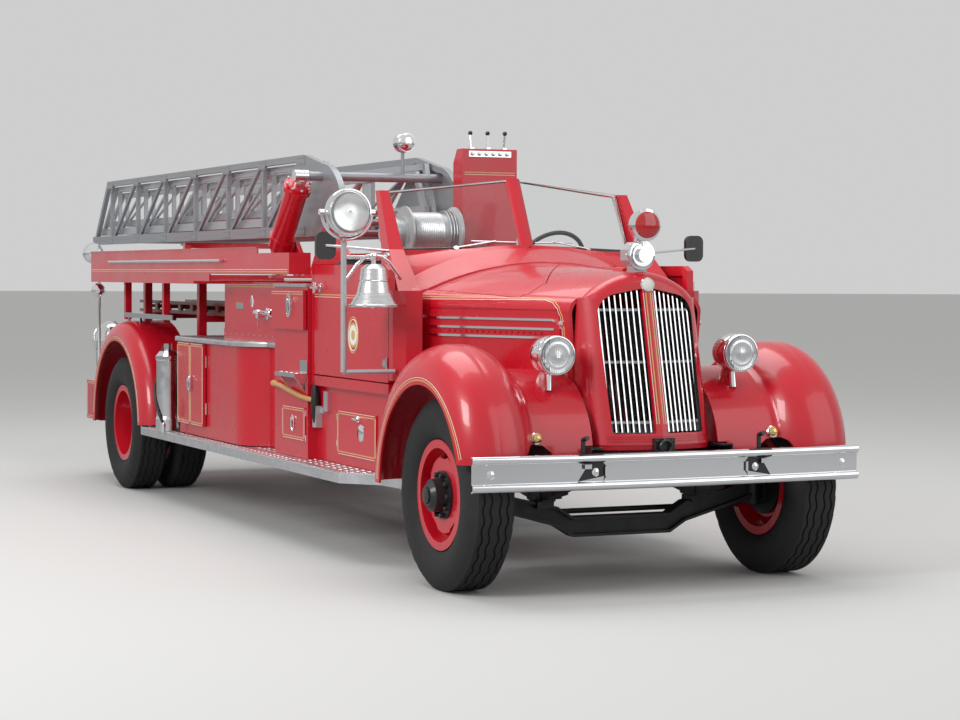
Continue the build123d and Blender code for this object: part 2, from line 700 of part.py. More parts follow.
def steering_wheel():
    """Rim, three spokes and boss, square to the column."""
    ring = Torus(215, 14)
    wheel = ring + Cylinder(34, 40)
    for angle in (90, 210, 330):
        wheel += Rot(0, 0, angle) * (Pos(112, 0, 0) * Box(190, 18, 10))
    return STEERING_PLACE * wheel


COLUMN_AXIS = (Vector(*STEER_HEAD) - Vector(*STEER_FOOT)).normalized()
STEERING_PLACE = Plane(origin=Vector(*STEER_HEAD) + COLUMN_AXIS * 21, x_dir=(0, 1, 0), z_dir=COLUMN_AXIS).location


MIRROR_REACH = {1: 1285, -1: 1200}


def side_mirror(side):
    """A mirror on its arm from the windscreen's corner post."""
    x, y, z = 3120, MIRROR_REACH[side], 1862
    head = fillet(block(x - 14, x + 14, y - 62, y + 62, z - 82, z + 82).edges().filter_by(Axis.X), 40)
    if not isinstance(head, Solid):
        head = head.solids()[0]
    mirror_and_arm = head + rod((x + 10, y, z), (3300, 868, 1830), 8) - windscreen_frame()
    return mirror_and_arm if side == 1 else mirrored(mirror_and_arm)


# Bell and lamp post on the right side
BELL_POST = (3716, -1309)
BELL_AXIS = (3761, -1146)


def bell_post():
    """Grey post off the cowl with a lamp on top."""
    x, y = BELL_POST
    post = rod((x, y, 1140), (x, y, 1935), 17)
    post += rod((x, y, 1140), (x, -BODY_HALF, 1140), 14)
    lamp_profile = [(0, -120), (60, -108), (112, -60), (132, -6), (136, 26), (112, 40), (0, 44)]
    lamp = revolve(make_face(Polyline(*lamp_profile, close=True)), Axis.Y, 360)
    lamp = Pos(x + 36, y + 6, 2040) * Rot(0, 0, -90) * lamp
    return post + lamp


def bell():
    """Polished bell, mouth down, on its hanger from the post."""
    x, y = BELL_AXIS
    post_x, post_y = BELL_POST
    bell_profile = [
        (0, 1752), (40, 1750), (72, 1728), (80, 1660), (94, 1590), (128, 1530), (144, 1510), (136, 1510),
        (86, 1584), (72, 1650), (62, 1712), (0, 1724),
    ]
    bell = revolve(Plane.XZ * make_face(Polyline(*bell_profile, close=True)), Axis.Z, 360)
    bell = Pos(x, y, 0) * bell
    hanger = rod((x, y, 1740), (x, y, 1800), 14) + rod((x, y, 1790), (post_x, post_y, 1790), 10)
    return bell + (hanger - rod((post_x, post_y, 1700), (post_x, post_y, 1900), 17))


# Running boards, side bodies and their doors
CABINET_REAR_X = -267
CABINET_BEND_X = 1040
CABINET_OUT = 1110
CABINET_DOOR_X = (-240, 383)
CABINET_Z = (606, 1204)
CABINET_BEND_R = 330
WALL_OUT = 930
LOCKER_X = (1690, 2322)
LOCKER_OUT = 1050
LOCKER_DOOR_Z = (1340, 1592)


def running_boards():
    """Tread plate steps along each side, with a turned-down edge."""
    edge = [(-1010, 1170), (3270, 1170), (3480, 985), (3740, 960)]
    inner_edge = [(-1010, 1162), (3266, 1162), (3476, 976), (3740, 952)]
    board = plan_plate([(-1010, 700), *edge, (3740, 700)], BOARD_TOP - 8, BOARD_TOP)
    board += plan_plate([(2336, 970), (3470, 970), (3262, 1156), (2336, 1156)], BOARD_TOP, BOARD_TOP + 3)
    pieces = [board]
    for number in range(3):
        lip = [edge[number], edge[number + 1], inner_edge[number + 1], inner_edge[number]]
        pieces.append(plan_plate(lip, BOARD_TOP - 62, BOARD_TOP - 8))
    for x in (-600, 700, 2000, 3200):
        bracket = block(x - 30, x + 30, RAIL_OUT, 1100, BOARD_TOP - 50, BOARD_TOP - 8)
        pieces.append(bracket + block(x - 30, x + 30, RAIL_OUT, RAIL_OUT + 12, BOARD_TOP - 50, 700))
    return pieces


def cabinet_plan(grow):
    """Plan of the low cabinet: straight along the doors, then a quarter round in to the side wall."""
    radius = CABINET_BEND_R + grow
    rear, outer, wall = CABINET_REAR_X - grow, CABINET_OUT - 28 + grow, WALL_OUT + grow
    centre_y = outer - radius
    end = CABINET_BEND_X + math.sqrt(radius**2 - (wall - centre_y) ** 2)
    half = math.radians(90 - 0.5 * math.degrees(math.acos((wall - centre_y) / radius)))
    middle = (CABINET_BEND_X + radius * math.cos(half), centre_y + radius * math.sin(half))
    back = 760 - grow * 0.5
    outline = (
        Line((rear, back), (rear, outer))
        + Line((rear, outer), (CABINET_BEND_X, outer))
        + ThreePointArc((CABINET_BEND_X, outer), middle, (end, wall))
        + Line((end, wall), (LOCKER_X[0] - 2, wall))
        + Line((LOCKER_X[0] - 2, wall), (LOCKER_X[0] - 2, back))
        + Line((LOCKER_X[0] - 2, back), (rear, back))
    )
    return make_face(outline)


def tread_step():
    """Fold of tread plate on a triangular bracket, on the tall locker's face."""
    step = block(1940, 2322, LOCKER_OUT - 40, LOCKER_OUT + 60, 1045, 1070)
    step += block(2190, 2322, LOCKER_OUT - 40, LOCKER_OUT - 22, 1070, 1150)
    bracket = across_plate([(LOCKER_OUT - 40, 930), (LOCKER_OUT + 48, 1045), (LOCKER_OUT - 40, 1045)], -5, 5)
    return step + Pos(2000, 0, 0) * bracket + Pos(2290, 0, 0) * bracket


def side_body():
    """Left lockers behind the cab: low cabinet, upper side panel and tall locker."""
    low, high = CABINET_Z
    outer = CABINET_OUT - 28
    cabinet = Pos(0, 0, low - 70) * extrude(cabinet_plan(0), high - low + 70)
    cabinet -= Pos(0, 0, low) * extrude(cabinet_plan(-12), high - low - 10)
    cabinet -= block(CABINET_DOOR_X[0] + 12, CABINET_DOOR_X[1] - 12, outer - 20, outer + 1, low + 14, high - 20)
    cover = Pos(0, 0, high) * extrude(cabinet_plan(28), 34)
    round_edge = [edge for edge in cover.edges() if edge.center().Z > high + 30 and edge.center().Y > WALL_OUT + 20]
    cover = fillet(round_edge, 12)
    upper = block(330, LOCKER_X[0] - 2, 760, WALL_OUT, high + 34, 1636)
    upper -= block(344, LOCKER_X[0] - 14, 760, WALL_OUT - 14, high + 46, 1636)
    kick = block(330, LOCKER_X[0] - 2, WALL_OUT, WALL_OUT + 5, high + 34, high + 104)
    x0, x1 = LOCKER_X
    locker = block(x0, x1, 760, LOCKER_OUT - 28, BOARD_TOP + 2, 1612)
    locker += block(x0, x1, 760, LOCKER_OUT - 16, 1612, 1630)
    locker -= block(x0 + 14, x1 - 14, 780, LOCKER_OUT - 42, 1130, 1598)
    locker -= block(x0 + 26, x1 - 26, 780, LOCKER_OUT, LOCKER_DOOR_Z[0] + 14, LOCKER_DOOR_Z[1] - 12)
    sill = block(x1, 3740, WALL_OUT, WALL_OUT + 30, BOARD_TOP + 2, 996)
    return join([cabinet, cover, upper, kick, locker, tread_step(), sill])


def cabinet_door(front):
    """Half of the low cabinet's pair of doors."""
    low, high = CABINET_Z
    middle = sum(CABINET_DOOR_X) / 2
    x0, x1 = (middle + 3, CABINET_DOOR_X[1]) if front else (CABINET_DOOR_X[0], middle - 3)
    door = block(x0, x1, CABINET_OUT - 22, CABINET_OUT, low + 6, high - 8)
    if front:
        x = x0 + 40
        door += rod((x, CABINET_OUT - 4, 905), (x, CABINET_OUT + 10, 905), 9)
        door += extrude(Plane(origin=(x, CABINET_OUT + 8, 905), x_dir=(1, 0, 0), z_dir=(0, 1, 0)) * Ellipse(20, 58), 9)
    return door


def locker_door():
    """Door of the tall locker, with its lever."""
    x0, x1 = LOCKER_X[0] + 10, LOCKER_X[1] - 10
    door = block(x0, x1, LOCKER_OUT - 22, LOCKER_OUT, *LOCKER_DOOR_Z)
    x, z = 2068, 1498
    door += extrude(Plane(origin=(x, LOCKER_OUT - 2, z), x_dir=(1, 0, 0), z_dir=(0, 1, 0)) * Ellipse(32, 78), 8)
    return door + block(x - 13, x + 13, LOCKER_OUT + 2, LOCKER_OUT + 24, z - 56, z + 30)


# Rear
def rear_fender():
    """Left rear fender: one section turned about the axle."""
    band = (
        Line((1190, 1160), (1190, 1200))
        + ThreePointArc((1190, 1200), (1154, 1286), (1070, 1320))
        + Line((1070, 1320), (780, 1320))
        + Line((780, 1320), (780, 1310))
        + Line((780, 1310), (1070, 1310))
        + ThreePointArc((1070, 1310), (1147, 1279), (1180, 1200))
        + Line((1180, 1200), (1180, 1160))
        + Line((1180, 1160), (1190, 1160))
    )
    face = Plane(origin=(REAR_AXLE_X, 0, 0), x_dir=(0, 1, 0), z_dir=(1, 0, 0)) * make_face(band)
    back = revolve(face, Axis((REAR_AXLE_X, 0, WHEEL_R), (0, -1, 0)), 92)
    front = revolve(face, Axis((REAR_AXLE_X, 0, WHEEL_R), (0, 1, 0)), 88)
    return back + front


def tail_body():
    """Tail boxes each side with the step between them."""
    box = block(-2930, -2500, 700, 1100, 480, 800) - block(-2918, -2512, 712, 1088, 492, 788)
    step = block(-2930, -2640, -698, 698, 470, 500)
    hanger = block(-2800, -2770, RAIL_OUT - 40, RAIL_OUT - 12, 500, RAIL_LOW - 2)
    join_bar = block(-2930, -2640, 690, 712, 480, 500)
    half = box + join_bar + hanger
    return step + half + mirrored(half)


DECK_SIDE_TOP = 1868


def deck_frame():
    """Bed over the rear axle: side panels and their grab rails, floor, sills and posts."""
    panel = block(-2580, 670, 1138, 1150, DECK_TOP, DECK_SIDE_TOP)
    panel += block(670, 1700, 1138, 1150, 1764, DECK_SIDE_TOP)
    panel += block(1700, 2320, 1138, 1150, 1764, 1826)
    panel += block(-2580, 1700, 1138, 1156, DECK_SIDE_TOP - 8, DECK_SIDE_TOP)
    rear_end = block(-2580, -2568, 1000, 1138, DECK_TOP, DECK_SIDE_TOP)
    front_end = block(660, 672, 1060, 1138, 1690, DECK_SIDE_TOP)
    ledge_end = block(2320, 2330, 1006, 1150, 1690, 1826)
    mat = block(-2560, 290, 470, 1130, DECK_TOP, DECK_TOP + 3)
    ledge = block(672, 2320, 1060, 1150, 1690, 1764) - block(600, 2330, 1050, 1138, 1680, 1754) - panel
    rail = rod((-1918, 1176, 1781), (1006, 1176, 1781), 11)
    for x in (-1890, -1180, -470, 240, 980):
        rail += rod((x, 1150, 1781), (x, 1176, 1781), 8)
    sides = [panel, rear_end, front_end, ledge, ledge_end, mat, rail]
    for x in (-2050, -960):
        sides.append(block(x - 25, x + 25, 960, 1010, 1322, DECK_TOP - 20))
    sides.append(block(-2400, -2340, 700, 760, 800, DECK_TOP - 20))
    sides.append(block(-900, -840, 700, 760, 900, DECK_TOP - 20))
    pieces = sides + [mirrored(piece) for piece in sides]
    pieces.append(block(-2580, 300, -1150, 1150, DECK_TOP - 20, DECK_TOP))
    for x in (-2370, -870):
        pieces.append(block(x - 30, x + 30, -700, 700, 1322, 1372))
    pieces.append(block(-2370, -2310, -430, 430, DECK_TOP, DECK_TOP + 40))
    pieces.append(block(-2370, -2310, -430, 430, 1900, 1945))
    for side in (-1, 1):
        pieces.append(block(-2370, -2310, side * 380, side * 430, DECK_TOP + 40, 1900))
    return pieces


def ground_ladders():
    """Three straight ladders lying flat in the rack under the deck."""
    ladders = []
    for y in (-450, 0, 450):
        rails = []
        for side in (-1, 1):
            rails.append(block(-2860, -260, y + side * 182, y + side * 212, 1372, 1398))
            rails.append(block(-2860, -260, y + side * 182, y + side * 212, 1446, 1470))
        for number in range(8):
            x = -2700 + 330 * number
            for side in (-1, 1):
                rails.append(block(x - 34, x + 34, y + side * 185, y + side * 209, 1396, 1448))
            ladders.append(rod((x, y - 185, 1422), (x, y + 185, 1422), 14))
        ladders += [join([bar for bar in rails if bar.center().Y > y]), join([bar for bar in rails if bar.center().Y < y])]
    return ladders


# Turntable group
def turntable():
    """Turning platform with the heel brackets and the hoist feet."""
    disc = Pos(TURN_X, 0, 1672) * Cylinder(TURN_R, 16)
    disc += Pos(TURN_X, 0, 1654.5) * Cylinder(560, 19)
    foot_x, foot_z = HOIST_FOOT
    heel_bracket = [
        (HEEL_X - 420, 1680), (HEEL_X + 420, 1680), (HEEL_X + 70, HEEL_Z + 70), (HEEL_X - 70, HEEL_Z + 70),
    ]
    hoist_shoe = [
        (foot_x + 15, 1664), (foot_x + 330, 1664), (foot_x + 44, foot_z + 40), (foot_x - 34, foot_z + 40),
        (foot_x - 44, foot_z - 20),
    ]
    for side in (-1, 1):
        cheek = side_plate(heel_bracket, side * 462, side * 500)
        cheek -= rod((HEEL_X, side * 400, HEEL_Z), (HEEL_X, side * 560, HEEL_Z), 30.05)
        shoe = side_plate(hoist_shoe, side * 470, side * 502)
        shoe -= rod((foot_x, side * 400, foot_z), (foot_x, side * 700, foot_z), 28.05)
        disc += cheek + shoe
    return disc


def turntable_base():
    """Fixed drum on the frame that carries the turning ring."""
    drum = Pos(TURN_X, 0, (RAIL_HIGH + 2 + 1640) / 2) * Cylinder(520, 1640 - RAIL_HIGH - 2)
    drum -= Pos(TURN_X, 0, (RAIL_HIGH + 1640) / 2) * Cylinder(480, 1640 - RAIL_HIGH + 4)
    return drum


def control_pedestal():
    """Operator's stand: a tall box with a sloped face for the gauges and three levers on top."""
    box = side_plate([(1900, 1681), (2050, 1681), (2050, 2520), (1960, 2520), (1900, 2430)], 150, 545)
    for number in range(3):
        y = 230 + 118 * number
        box += block(1990, 2030, y - 14, y + 14, 2518, 2532)
        box += rod((2010, y, 2528), (1996 + 16 * number, y, 2624), 7)
        box += Pos(1996 + 16 * number, y, 2626) * Sphere(15)
    return box


def winch():
    """Extension winch: drum between two plates, motor and brake bands."""
    x, z = 2010, 1960
    drum = turned(
        [(0.001, -250), (175, -250), (175, -236), (150, -222), (128, -214), (128, 74), (150, 82), (175, 96),
         (175, 110), (0.001, 110)]
    )
    drum += turned(
        [(0.001, -402), (62, -402), (74, -392), (74, -366), (96, -366), (96, -300), (84, -300), (84, -262),
         (110, -262), (110, -248), (0.001, -248)]
    )
    drum = Pos(x, 0, z) * drum
    foot = [(x - 130, 1681), (x + 130, 1681), (x + 60, z + 60), (x - 60, z + 60)]
    for y in (-262, 110):
        drum += side_plate(foot, y, y + 16)
    return drum


def hoist_at(distance, y):
    """A point up the hoist cylinder's line, measured from its foot."""
    (x0, z0), (x1, z1) = HOIST_FOOT, HOIST_EYE
    length = math.dist(HOIST_FOOT, HOIST_EYE)
    return (x0 + (x1 - x0) * distance / length, y, z0 + (z1 - z0) * distance / length)


def hoist_barrels():
    """Two thick barrels, each with a foot pin into its shoe."""
    length = math.dist(HOIST_FOOT, HOIST_EYE)
    mouth = length - 70
    barrels = []
    for side in (-1, 1):
        y = side * HOIST_Y
        barrel = rod(hoist_at(0, y), hoist_at(mouth, y), 80)
        barrel += rod(hoist_at(mouth - 62, y), hoist_at(mouth - 26, y), 98)
        barrel += rod(hoist_at(mouth - 30, y), hoist_at(mouth - 6, y), 62)
        barrel += rod(hoist_at(70, y), hoist_at(96, y), 90)
        barrel += rod(hoist_at(0, side * 506), hoist_at(0, side * 650), 60)
        barrel += rod(hoist_at(0, side * 465), hoist_at(0, side * 650), 28)
        barrel -= rod(hoist_at(84, y), hoist_at(length, y), 45.05)
        barrels.append(barrel)
    return barrels


def hoist_rods():
    """Two rods, each with the eye that takes the ladder's cross tube."""
    length = math.dist(HOIST_FOOT, HOIST_EYE)
    rods = []
    for side in (-1, 1):
        y = side * HOIST_Y
        piece = rod(hoist_at(88, y), hoist_at(length - 20, y), 45)
        x, z = HOIST_EYE
        piece += rod((x, side * 556, z), (x, side * 652, z), 42)
        rods.append(piece)
    return rods


# Ladder sections: name, half width outside, rail width, low Z, high Z, rear X, front X, rail depth
LADDERS = {
    "ladder_base": (450, 44, 1955, 2530, LADDER_TAIL_X, 1180, 76),
    "ladder_mid": (394, 40, 2042, 2476, -5190, 1090, 62),
    "ladder_fly": (342, 38, 2118, 2422, -5130, 1040, 54),
}
LADDER_BAY = 866
RUNG_PITCH = 356
HEEL_CAP = 42
SPOTLIGHT = (1010, 150, 2610)


def ladder_section(name):
    """A trussed section: rails, posts, diagonals and rungs, each a member of its own."""
    half, wide, low, high, rear, front, depth = LADDERS[name]
    slope = 520
    inner = half - wide
    is_base = name == "ladder_base"
    lower = block(rear, front, inner, half, low, low + depth)
    upper = block(rear + slope, 604 if is_base else front - 200, inner, half, high - 46, high)
    tail = [(rear, low), (rear + 60, low), (rear + slope + 60, high), (rear + slope, high)]
    pieces = [side_plate(tail, inner + 4, half - 4) - lower - upper]
    if not is_base:
        nose = [(front - 60, low), (front, low), (front - 180, high), (front - 240, high)]
        pieces.append(side_plate(nose, inner + 4, half - 4) - lower - upper)
    x = rear + slope + 118
    while x < front - 700:
        post = block(x - 20, x + 20, inner + 6, half - 6, low + depth, high - 46)
        far = min(x + LADDER_BAY - 40, 540 if is_base else front - 260)
        brace = [(x, low + 30), (x + 46, low + 30), (far + 18, high - 20), (far - 28, high - 20)]
        pieces.append(post)
        pieces.append(side_plate(brace, inner + 10, half - 10) - lower - upper - post)
        x += LADDER_BAY
    rungs = []
    x = rear + 160
    while x < front - 80:
        rung = Pos(x, 0, low + depth / 2 - 6) * Rot(90, 0, 0) * extrude(RegularPolygon(17, 6), inner, both=True)
        rungs.append(rung)
        x += RUNG_PITCH
    if is_base:
        plate, cross = ladder_heel()
        side = [plate, lower - plate, upper - plate, *pieces]
        rungs += cross
    else:
        side = [lower, upper, *pieces]
    return side + [mirrored(piece) for piece in side] + rungs


def ladder_heel():
    """Left heel plate with its pivot pin, and the cross tube with the spotlight."""
    half = LADDERS["ladder_base"][0]
    outline = (
        Line((-90, 1975), (560, 2530))
        + Line((560, 2530), (640, 2530))
        + Line((640, 2530), (1040, 2448))
        + ThreePointArc((1040, 2448), (1272, 2358), (1392, 2190))
        + Line((1392, 2190), (1398, 2000))
        + Line((1398, 2000), (1340, 1950))
        + Line((1340, 1950), (-90, 1975))
    )
    face = make_face(outline)
    plate = Pos(0, half, 0) * extrude(Plane.XZ * face, 8)
    cap = Pos(0, half, 0) * extrude(Plane.XZ * (face - offset(face, -HEEL_CAP)), 44)
    plate += cap & block(600, 1500, half - 44, half, 2100, 2600)
    plate += rod((HEEL_X, half - 8, HEEL_Z), (HEEL_X, 508, HEEL_Z), 30)
    plate += rod((HEEL_X, half - 44, HEEL_Z), (HEEL_X, half - 4, HEEL_Z), 70)
    x, z = HOIST_EYE
    tube = rod((x, -552, z), (x, 552, z), CROSS_R) - plate - mirrored(plate)
    lamp_x, lamp_y, lamp_z = SPOTLIGHT
    lamp = rod((x, lamp_y, z), (lamp_x, lamp_y, lamp_z), 12) + Pos(*SPOTLIGHT) * Sphere(70)
    lamp += rod((lamp_x + 48, lamp_y, lamp_z), (lamp_x + 74, lamp_y, lamp_z), 64)
    return plate, [tube, lamp - tube]


def extinguisher(side):
    """Soda extinguisher standing on the running board."""
    x, y = -450, side * 1120
    profile = [(0, 532), (90, 532), (90, 620), (84, 640), (84, 1050), (90, 1060), (90, 1085), (60, 1120), (30, 1130), (30, 1165), (0, 1165)]
    body = revolve(Plane.XZ * make_face(Polyline(*profile, close=True)), Axis.Z, 360)
    return Pos(x, y, 0) * body


# Write each node
fixed_hood, lid = hood_parts()
save("frame_rails", *frame_rails())
save("front_axle_beam", front_axle_beam())
save("leaf_springs", *leaf_springs())
save("rear_axle", *rear_axle())
save("engine_block", engine_block())
save("radiator_core", radiator_core())
save("front_bumper", front_bumper())
save("radiator_shell", radiator_shell())
save("grille_bars", *grille_bars())
save("hood_shell", fixed_hood)
save("hood_lid_left", lid)
save("hood_lid_right", mirrored(lid))
fender = front_fender()
save("front_fenders", fender, mirrored(fender))
lamp = headlight(fender)
save("headlights", lamp, mirrored(lamp))
save("floodlamps", *(floodlamp(-2700, side * 1100, 1858) for side in (-1, 1)))
save("siren", siren())
save("cowl", cowl())
save("windscreen_frame", windscreen_frame())
pane = windscreen_pane()
save("windscreen_glass", pane, mirrored(pane))
save("cab_body", cab_body())
door = cab_door()
save("cab_door_left", door)
save("cab_door_right", mirrored(door))
save("bench_seat", *bench_seat())
save("steering_wheel", steering_wheel())
save("side_mirrors", side_mirror(1), side_mirror(-1))
save("bell_post", bell_post())
save("bell", bell())
boards = running_boards()
save("running_boards", *boards, *(mirrored(piece) for piece in boards))
lockers = side_body()
save("side_bodies", lockers, mirrored(lockers))
for place, front in (("front", True), ("rear", False)):
    leaf = cabinet_door(front)
    save(f"cabinet_door_left_{place}", leaf)
    save(f"cabinet_door_right_{place}", mirrored(leaf))
tall = locker_door()
save("locker_door_left", tall)
save("locker_door_right", mirrored(tall))
guard = rear_fender()
save("rear_fenders", guard, mirrored(guard))
save("tail_body", tail_body())
save("deck_frame", *deck_frame())
save("ground_ladders", *ground_ladders())
save("turntable", turntable())
save("turntable_base", turntable_base())
save("control_pedestal", control_pedestal())
save("winch", winch())
save("hoist_barrels", *hoist_barrels())
save("hoist_rods", *hoist_rods())
for name in LADDERS:
    save(name, *ladder_section(name))
save("extinguishers", extinguisher(-1), extinguisher(1))
swivel = knuckle()
save("knuckle_left", swivel)
save("knuckle_right", mirrored(swivel))
save("tie_rod", tie_rod())
steer_wheel = Pos(FRONT_AXLE_X, FRONT_TRACK_HALF, WHEEL_R) * front_wheel()
steer_tyre = Pos(FRONT_AXLE_X, FRONT_TRACK_HALF, WHEEL_R) * tyre()
save("wheel_front_left", steer_wheel)
save("wheel_front_right", mirrored(steer_wheel))
save("tyre_front_left", steer_tyre)
save("tyre_front_right", mirrored(steer_tyre))
pair = Pos(REAR_AXLE_X, REAR_INNER_Y, WHEEL_R) * rear_wheels()
tyres = [Pos(REAR_AXLE_X, y, WHEEL_R) * tyre() for y in (REAR_INNER_Y, REAR_OUTER_Y)]
save("wheels_rear_left", pair)
save("wheels_rear_right", mirrored(pair))
save("tyres_rear_left", *tyres)
save("tyres_rear_right", *(mirrored(one) for one in tyres))
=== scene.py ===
"""Open-cab ladder fire engine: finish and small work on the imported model.

Metres. X forward, Y to the driver's left, Z up, ground at Z 0.
"""

import json
import math

import bmesh
import bpy
from mathutils import Matrix, Vector
from mathutils.bvhtree import BVHTree


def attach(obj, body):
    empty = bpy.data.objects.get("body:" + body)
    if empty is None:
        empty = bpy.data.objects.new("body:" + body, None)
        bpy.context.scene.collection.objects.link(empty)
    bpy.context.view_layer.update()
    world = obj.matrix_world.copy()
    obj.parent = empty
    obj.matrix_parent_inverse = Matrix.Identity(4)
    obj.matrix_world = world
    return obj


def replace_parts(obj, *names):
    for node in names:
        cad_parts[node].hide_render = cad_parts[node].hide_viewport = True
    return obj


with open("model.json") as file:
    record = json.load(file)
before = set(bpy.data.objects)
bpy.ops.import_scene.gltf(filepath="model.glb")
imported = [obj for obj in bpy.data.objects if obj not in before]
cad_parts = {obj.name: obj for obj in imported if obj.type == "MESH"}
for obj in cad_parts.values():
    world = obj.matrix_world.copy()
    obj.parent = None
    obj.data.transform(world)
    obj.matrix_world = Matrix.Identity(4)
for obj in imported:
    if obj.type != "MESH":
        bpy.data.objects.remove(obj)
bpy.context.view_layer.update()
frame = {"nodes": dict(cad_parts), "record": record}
nodes = frame["nodes"]

# The view: the camera stands ahead of the engine on its right, at eye height.
camera = bpy.data.objects.new("camera", bpy.data.cameras.new("camera"))
bpy.context.scene.collection.objects.link(camera)
bpy.context.scene.camera = camera
camera.data.sensor_width = 36
camera.data.lens = 84.0
camera.location = (15.557, -5.776, 1.700)
yaw, pitch, roll = (math.radians(angle) for angle in (155.843, -2.212, 0.210))
aim = Vector((math.cos(yaw) * math.cos(pitch), math.sin(yaw) * math.cos(pitch), math.sin(pitch)))
camera.rotation_mode = "QUATERNION"
camera.rotation_quaternion = aim.to_track_quat("-Z", "Y") @ Matrix.Rotation(roll, 3, "Z").to_quaternion()
camera.data.clip_end = 200

floor_mesh = bpy.data.meshes.new("floor")
floor_mesh.from_pydata([(-200, -200, 0), (200, -200, 0), (200, 200, 0), (-200, 200, 0)], [], [(0, 1, 2, 3)])
floor = bpy.data.objects.new("floor", floor_mesh)
bpy.context.scene.collection.objects.link(floor)
pale = bpy.data.materials.new("pale floor")
pale.use_nodes = True
pale.node_tree.nodes["Principled BSDF"].inputs["Roughness"].default_value = 0.8
seen = pale.node_tree.nodes.new("ShaderNodeLightPath")
tint = pale.node_tree.nodes.new("ShaderNodeMix")
tint.data_type = "RGBA"
tint.inputs[6].default_value = (0.40, 0.40, 0.40, 1)
tint.inputs[7].default_value = (0.60, 0.60, 0.59, 1)
pale.node_tree.links.new(seen.outputs["Is Camera Ray"], tint.inputs[0])
pale.node_tree.links.new(tint.outputs[2], pale.node_tree.nodes["Principled BSDF"].inputs["Base Color"])
floor_mesh.materials.append(pale)

for name, power, size, place in (
    ("key", 620, 4, (7, -10, 7)),
    ("fill", 260, 9, (12, 6, 6)),
    ("top", 620, 8, (0, -1, 10)),
):
    light = bpy.data.lights.new(name, "AREA")
    light.energy = power
    light.size = size
    lamp = bpy.data.objects.new(name, light)
    bpy.context.scene.collection.objects.link(lamp)
    lamp.location = place
    lamp.rotation_euler = (Vector((0, 0, 1)) - Vector(place)).to_track_quat("-Z", "Y").to_euler()
world = bpy.data.worlds.new("world")
bpy.context.scene.world = world
world.use_nodes = True
world.node_tree.nodes["Background"].inputs[0].default_value = (1, 1, 1, 1)
world.node_tree.nodes["Background"].inputs[1].default_value = 0.62
bpy.context.scene.view_settings.view_transform = "Standard"


# Finishes. Gloss coach red over the whole body, satin grey on the aerial's fittings, bright plate on the
# trim, polished rolled plate underfoot, black hide and rubber: one finish for each slot of the record.
def finish(name, colour, rough, metal=0.0, coat=0.0, clear=0.0, tone=0.06, haze=0.25, patch=4,
           relief=0.0, grain=300, run=(1, 1, 1), cells=False):
    """A finish that clouds in tone and gloss, patch clouds to the metre, over a grain of that relief."""
    made = bpy.data.materials.new(name)
    made.use_nodes = True
    tree = made.node_tree
    shader = tree.nodes["Principled BSDF"]
    shader.inputs["Metallic"].default_value = metal
    shader.inputs["Coat Weight"].default_value = coat
    shader.inputs["Coat Roughness"].default_value = 0.04
    shader.inputs["Transmission Weight"].default_value = clear
    place = tree.nodes.new("ShaderNodeTexCoord")
    drawn = tree.nodes.new("ShaderNodeMapping")
    drawn.inputs["Scale"].default_value = run
    cloud = tree.nodes.new("ShaderNodeTexNoise")
    cloud.inputs["Scale"].default_value = patch
    cloud.inputs["Detail"].default_value = 5
    gloss = tree.nodes.new("ShaderNodeMapRange")
    gloss.inputs["From Min"].default_value = 0.3
    gloss.inputs["From Max"].default_value = 0.7
    gloss.inputs["To Min"].default_value = rough * (1 - haze)
    gloss.inputs["To Max"].default_value = rough * (1 + haze)
    shade = tree.nodes.new("ShaderNodeMix")
    shade.data_type = "RGBA"
    shade.inputs[6].default_value = (*(part * (1 - tone) for part in colour), 1)
    shade.inputs[7].default_value = (*(min(1, part * (1 + tone)) for part in colour), 1)
    tree.links.new(place.outputs["Object"], drawn.inputs["Vector"])
    tree.links.new(drawn.outputs["Vector"], cloud.inputs["Vector"])
    tree.links.new(cloud.outputs["Fac"], gloss.inputs["Value"])
    tree.links.new(gloss.outputs["Result"], shader.inputs["Roughness"])
    tree.links.new(cloud.outputs["Fac"], shade.inputs[0])
    tree.links.new(shade.outputs[2], shader.inputs["Base Color"])
    if relief:
        pits = tree.nodes.new("ShaderNodeTexVoronoi" if cells else "ShaderNodeTexNoise")
        pits.inputs["Scale"].default_value = grain
        bump = tree.nodes.new("ShaderNodeBump")
        bump.inputs["Strength"].default_value = 0.7
        bump.inputs["Distance"].default_value = relief
        tree.links.new(drawn.outputs["Vector"], pits.inputs["Vector"])
        tree.links.new(pits.outputs["Distance" if cells else "Fac"], bump.inputs["Height"])
        tree.links.new(bump.outputs["Normal"], shader.inputs["Normal"])
    return made


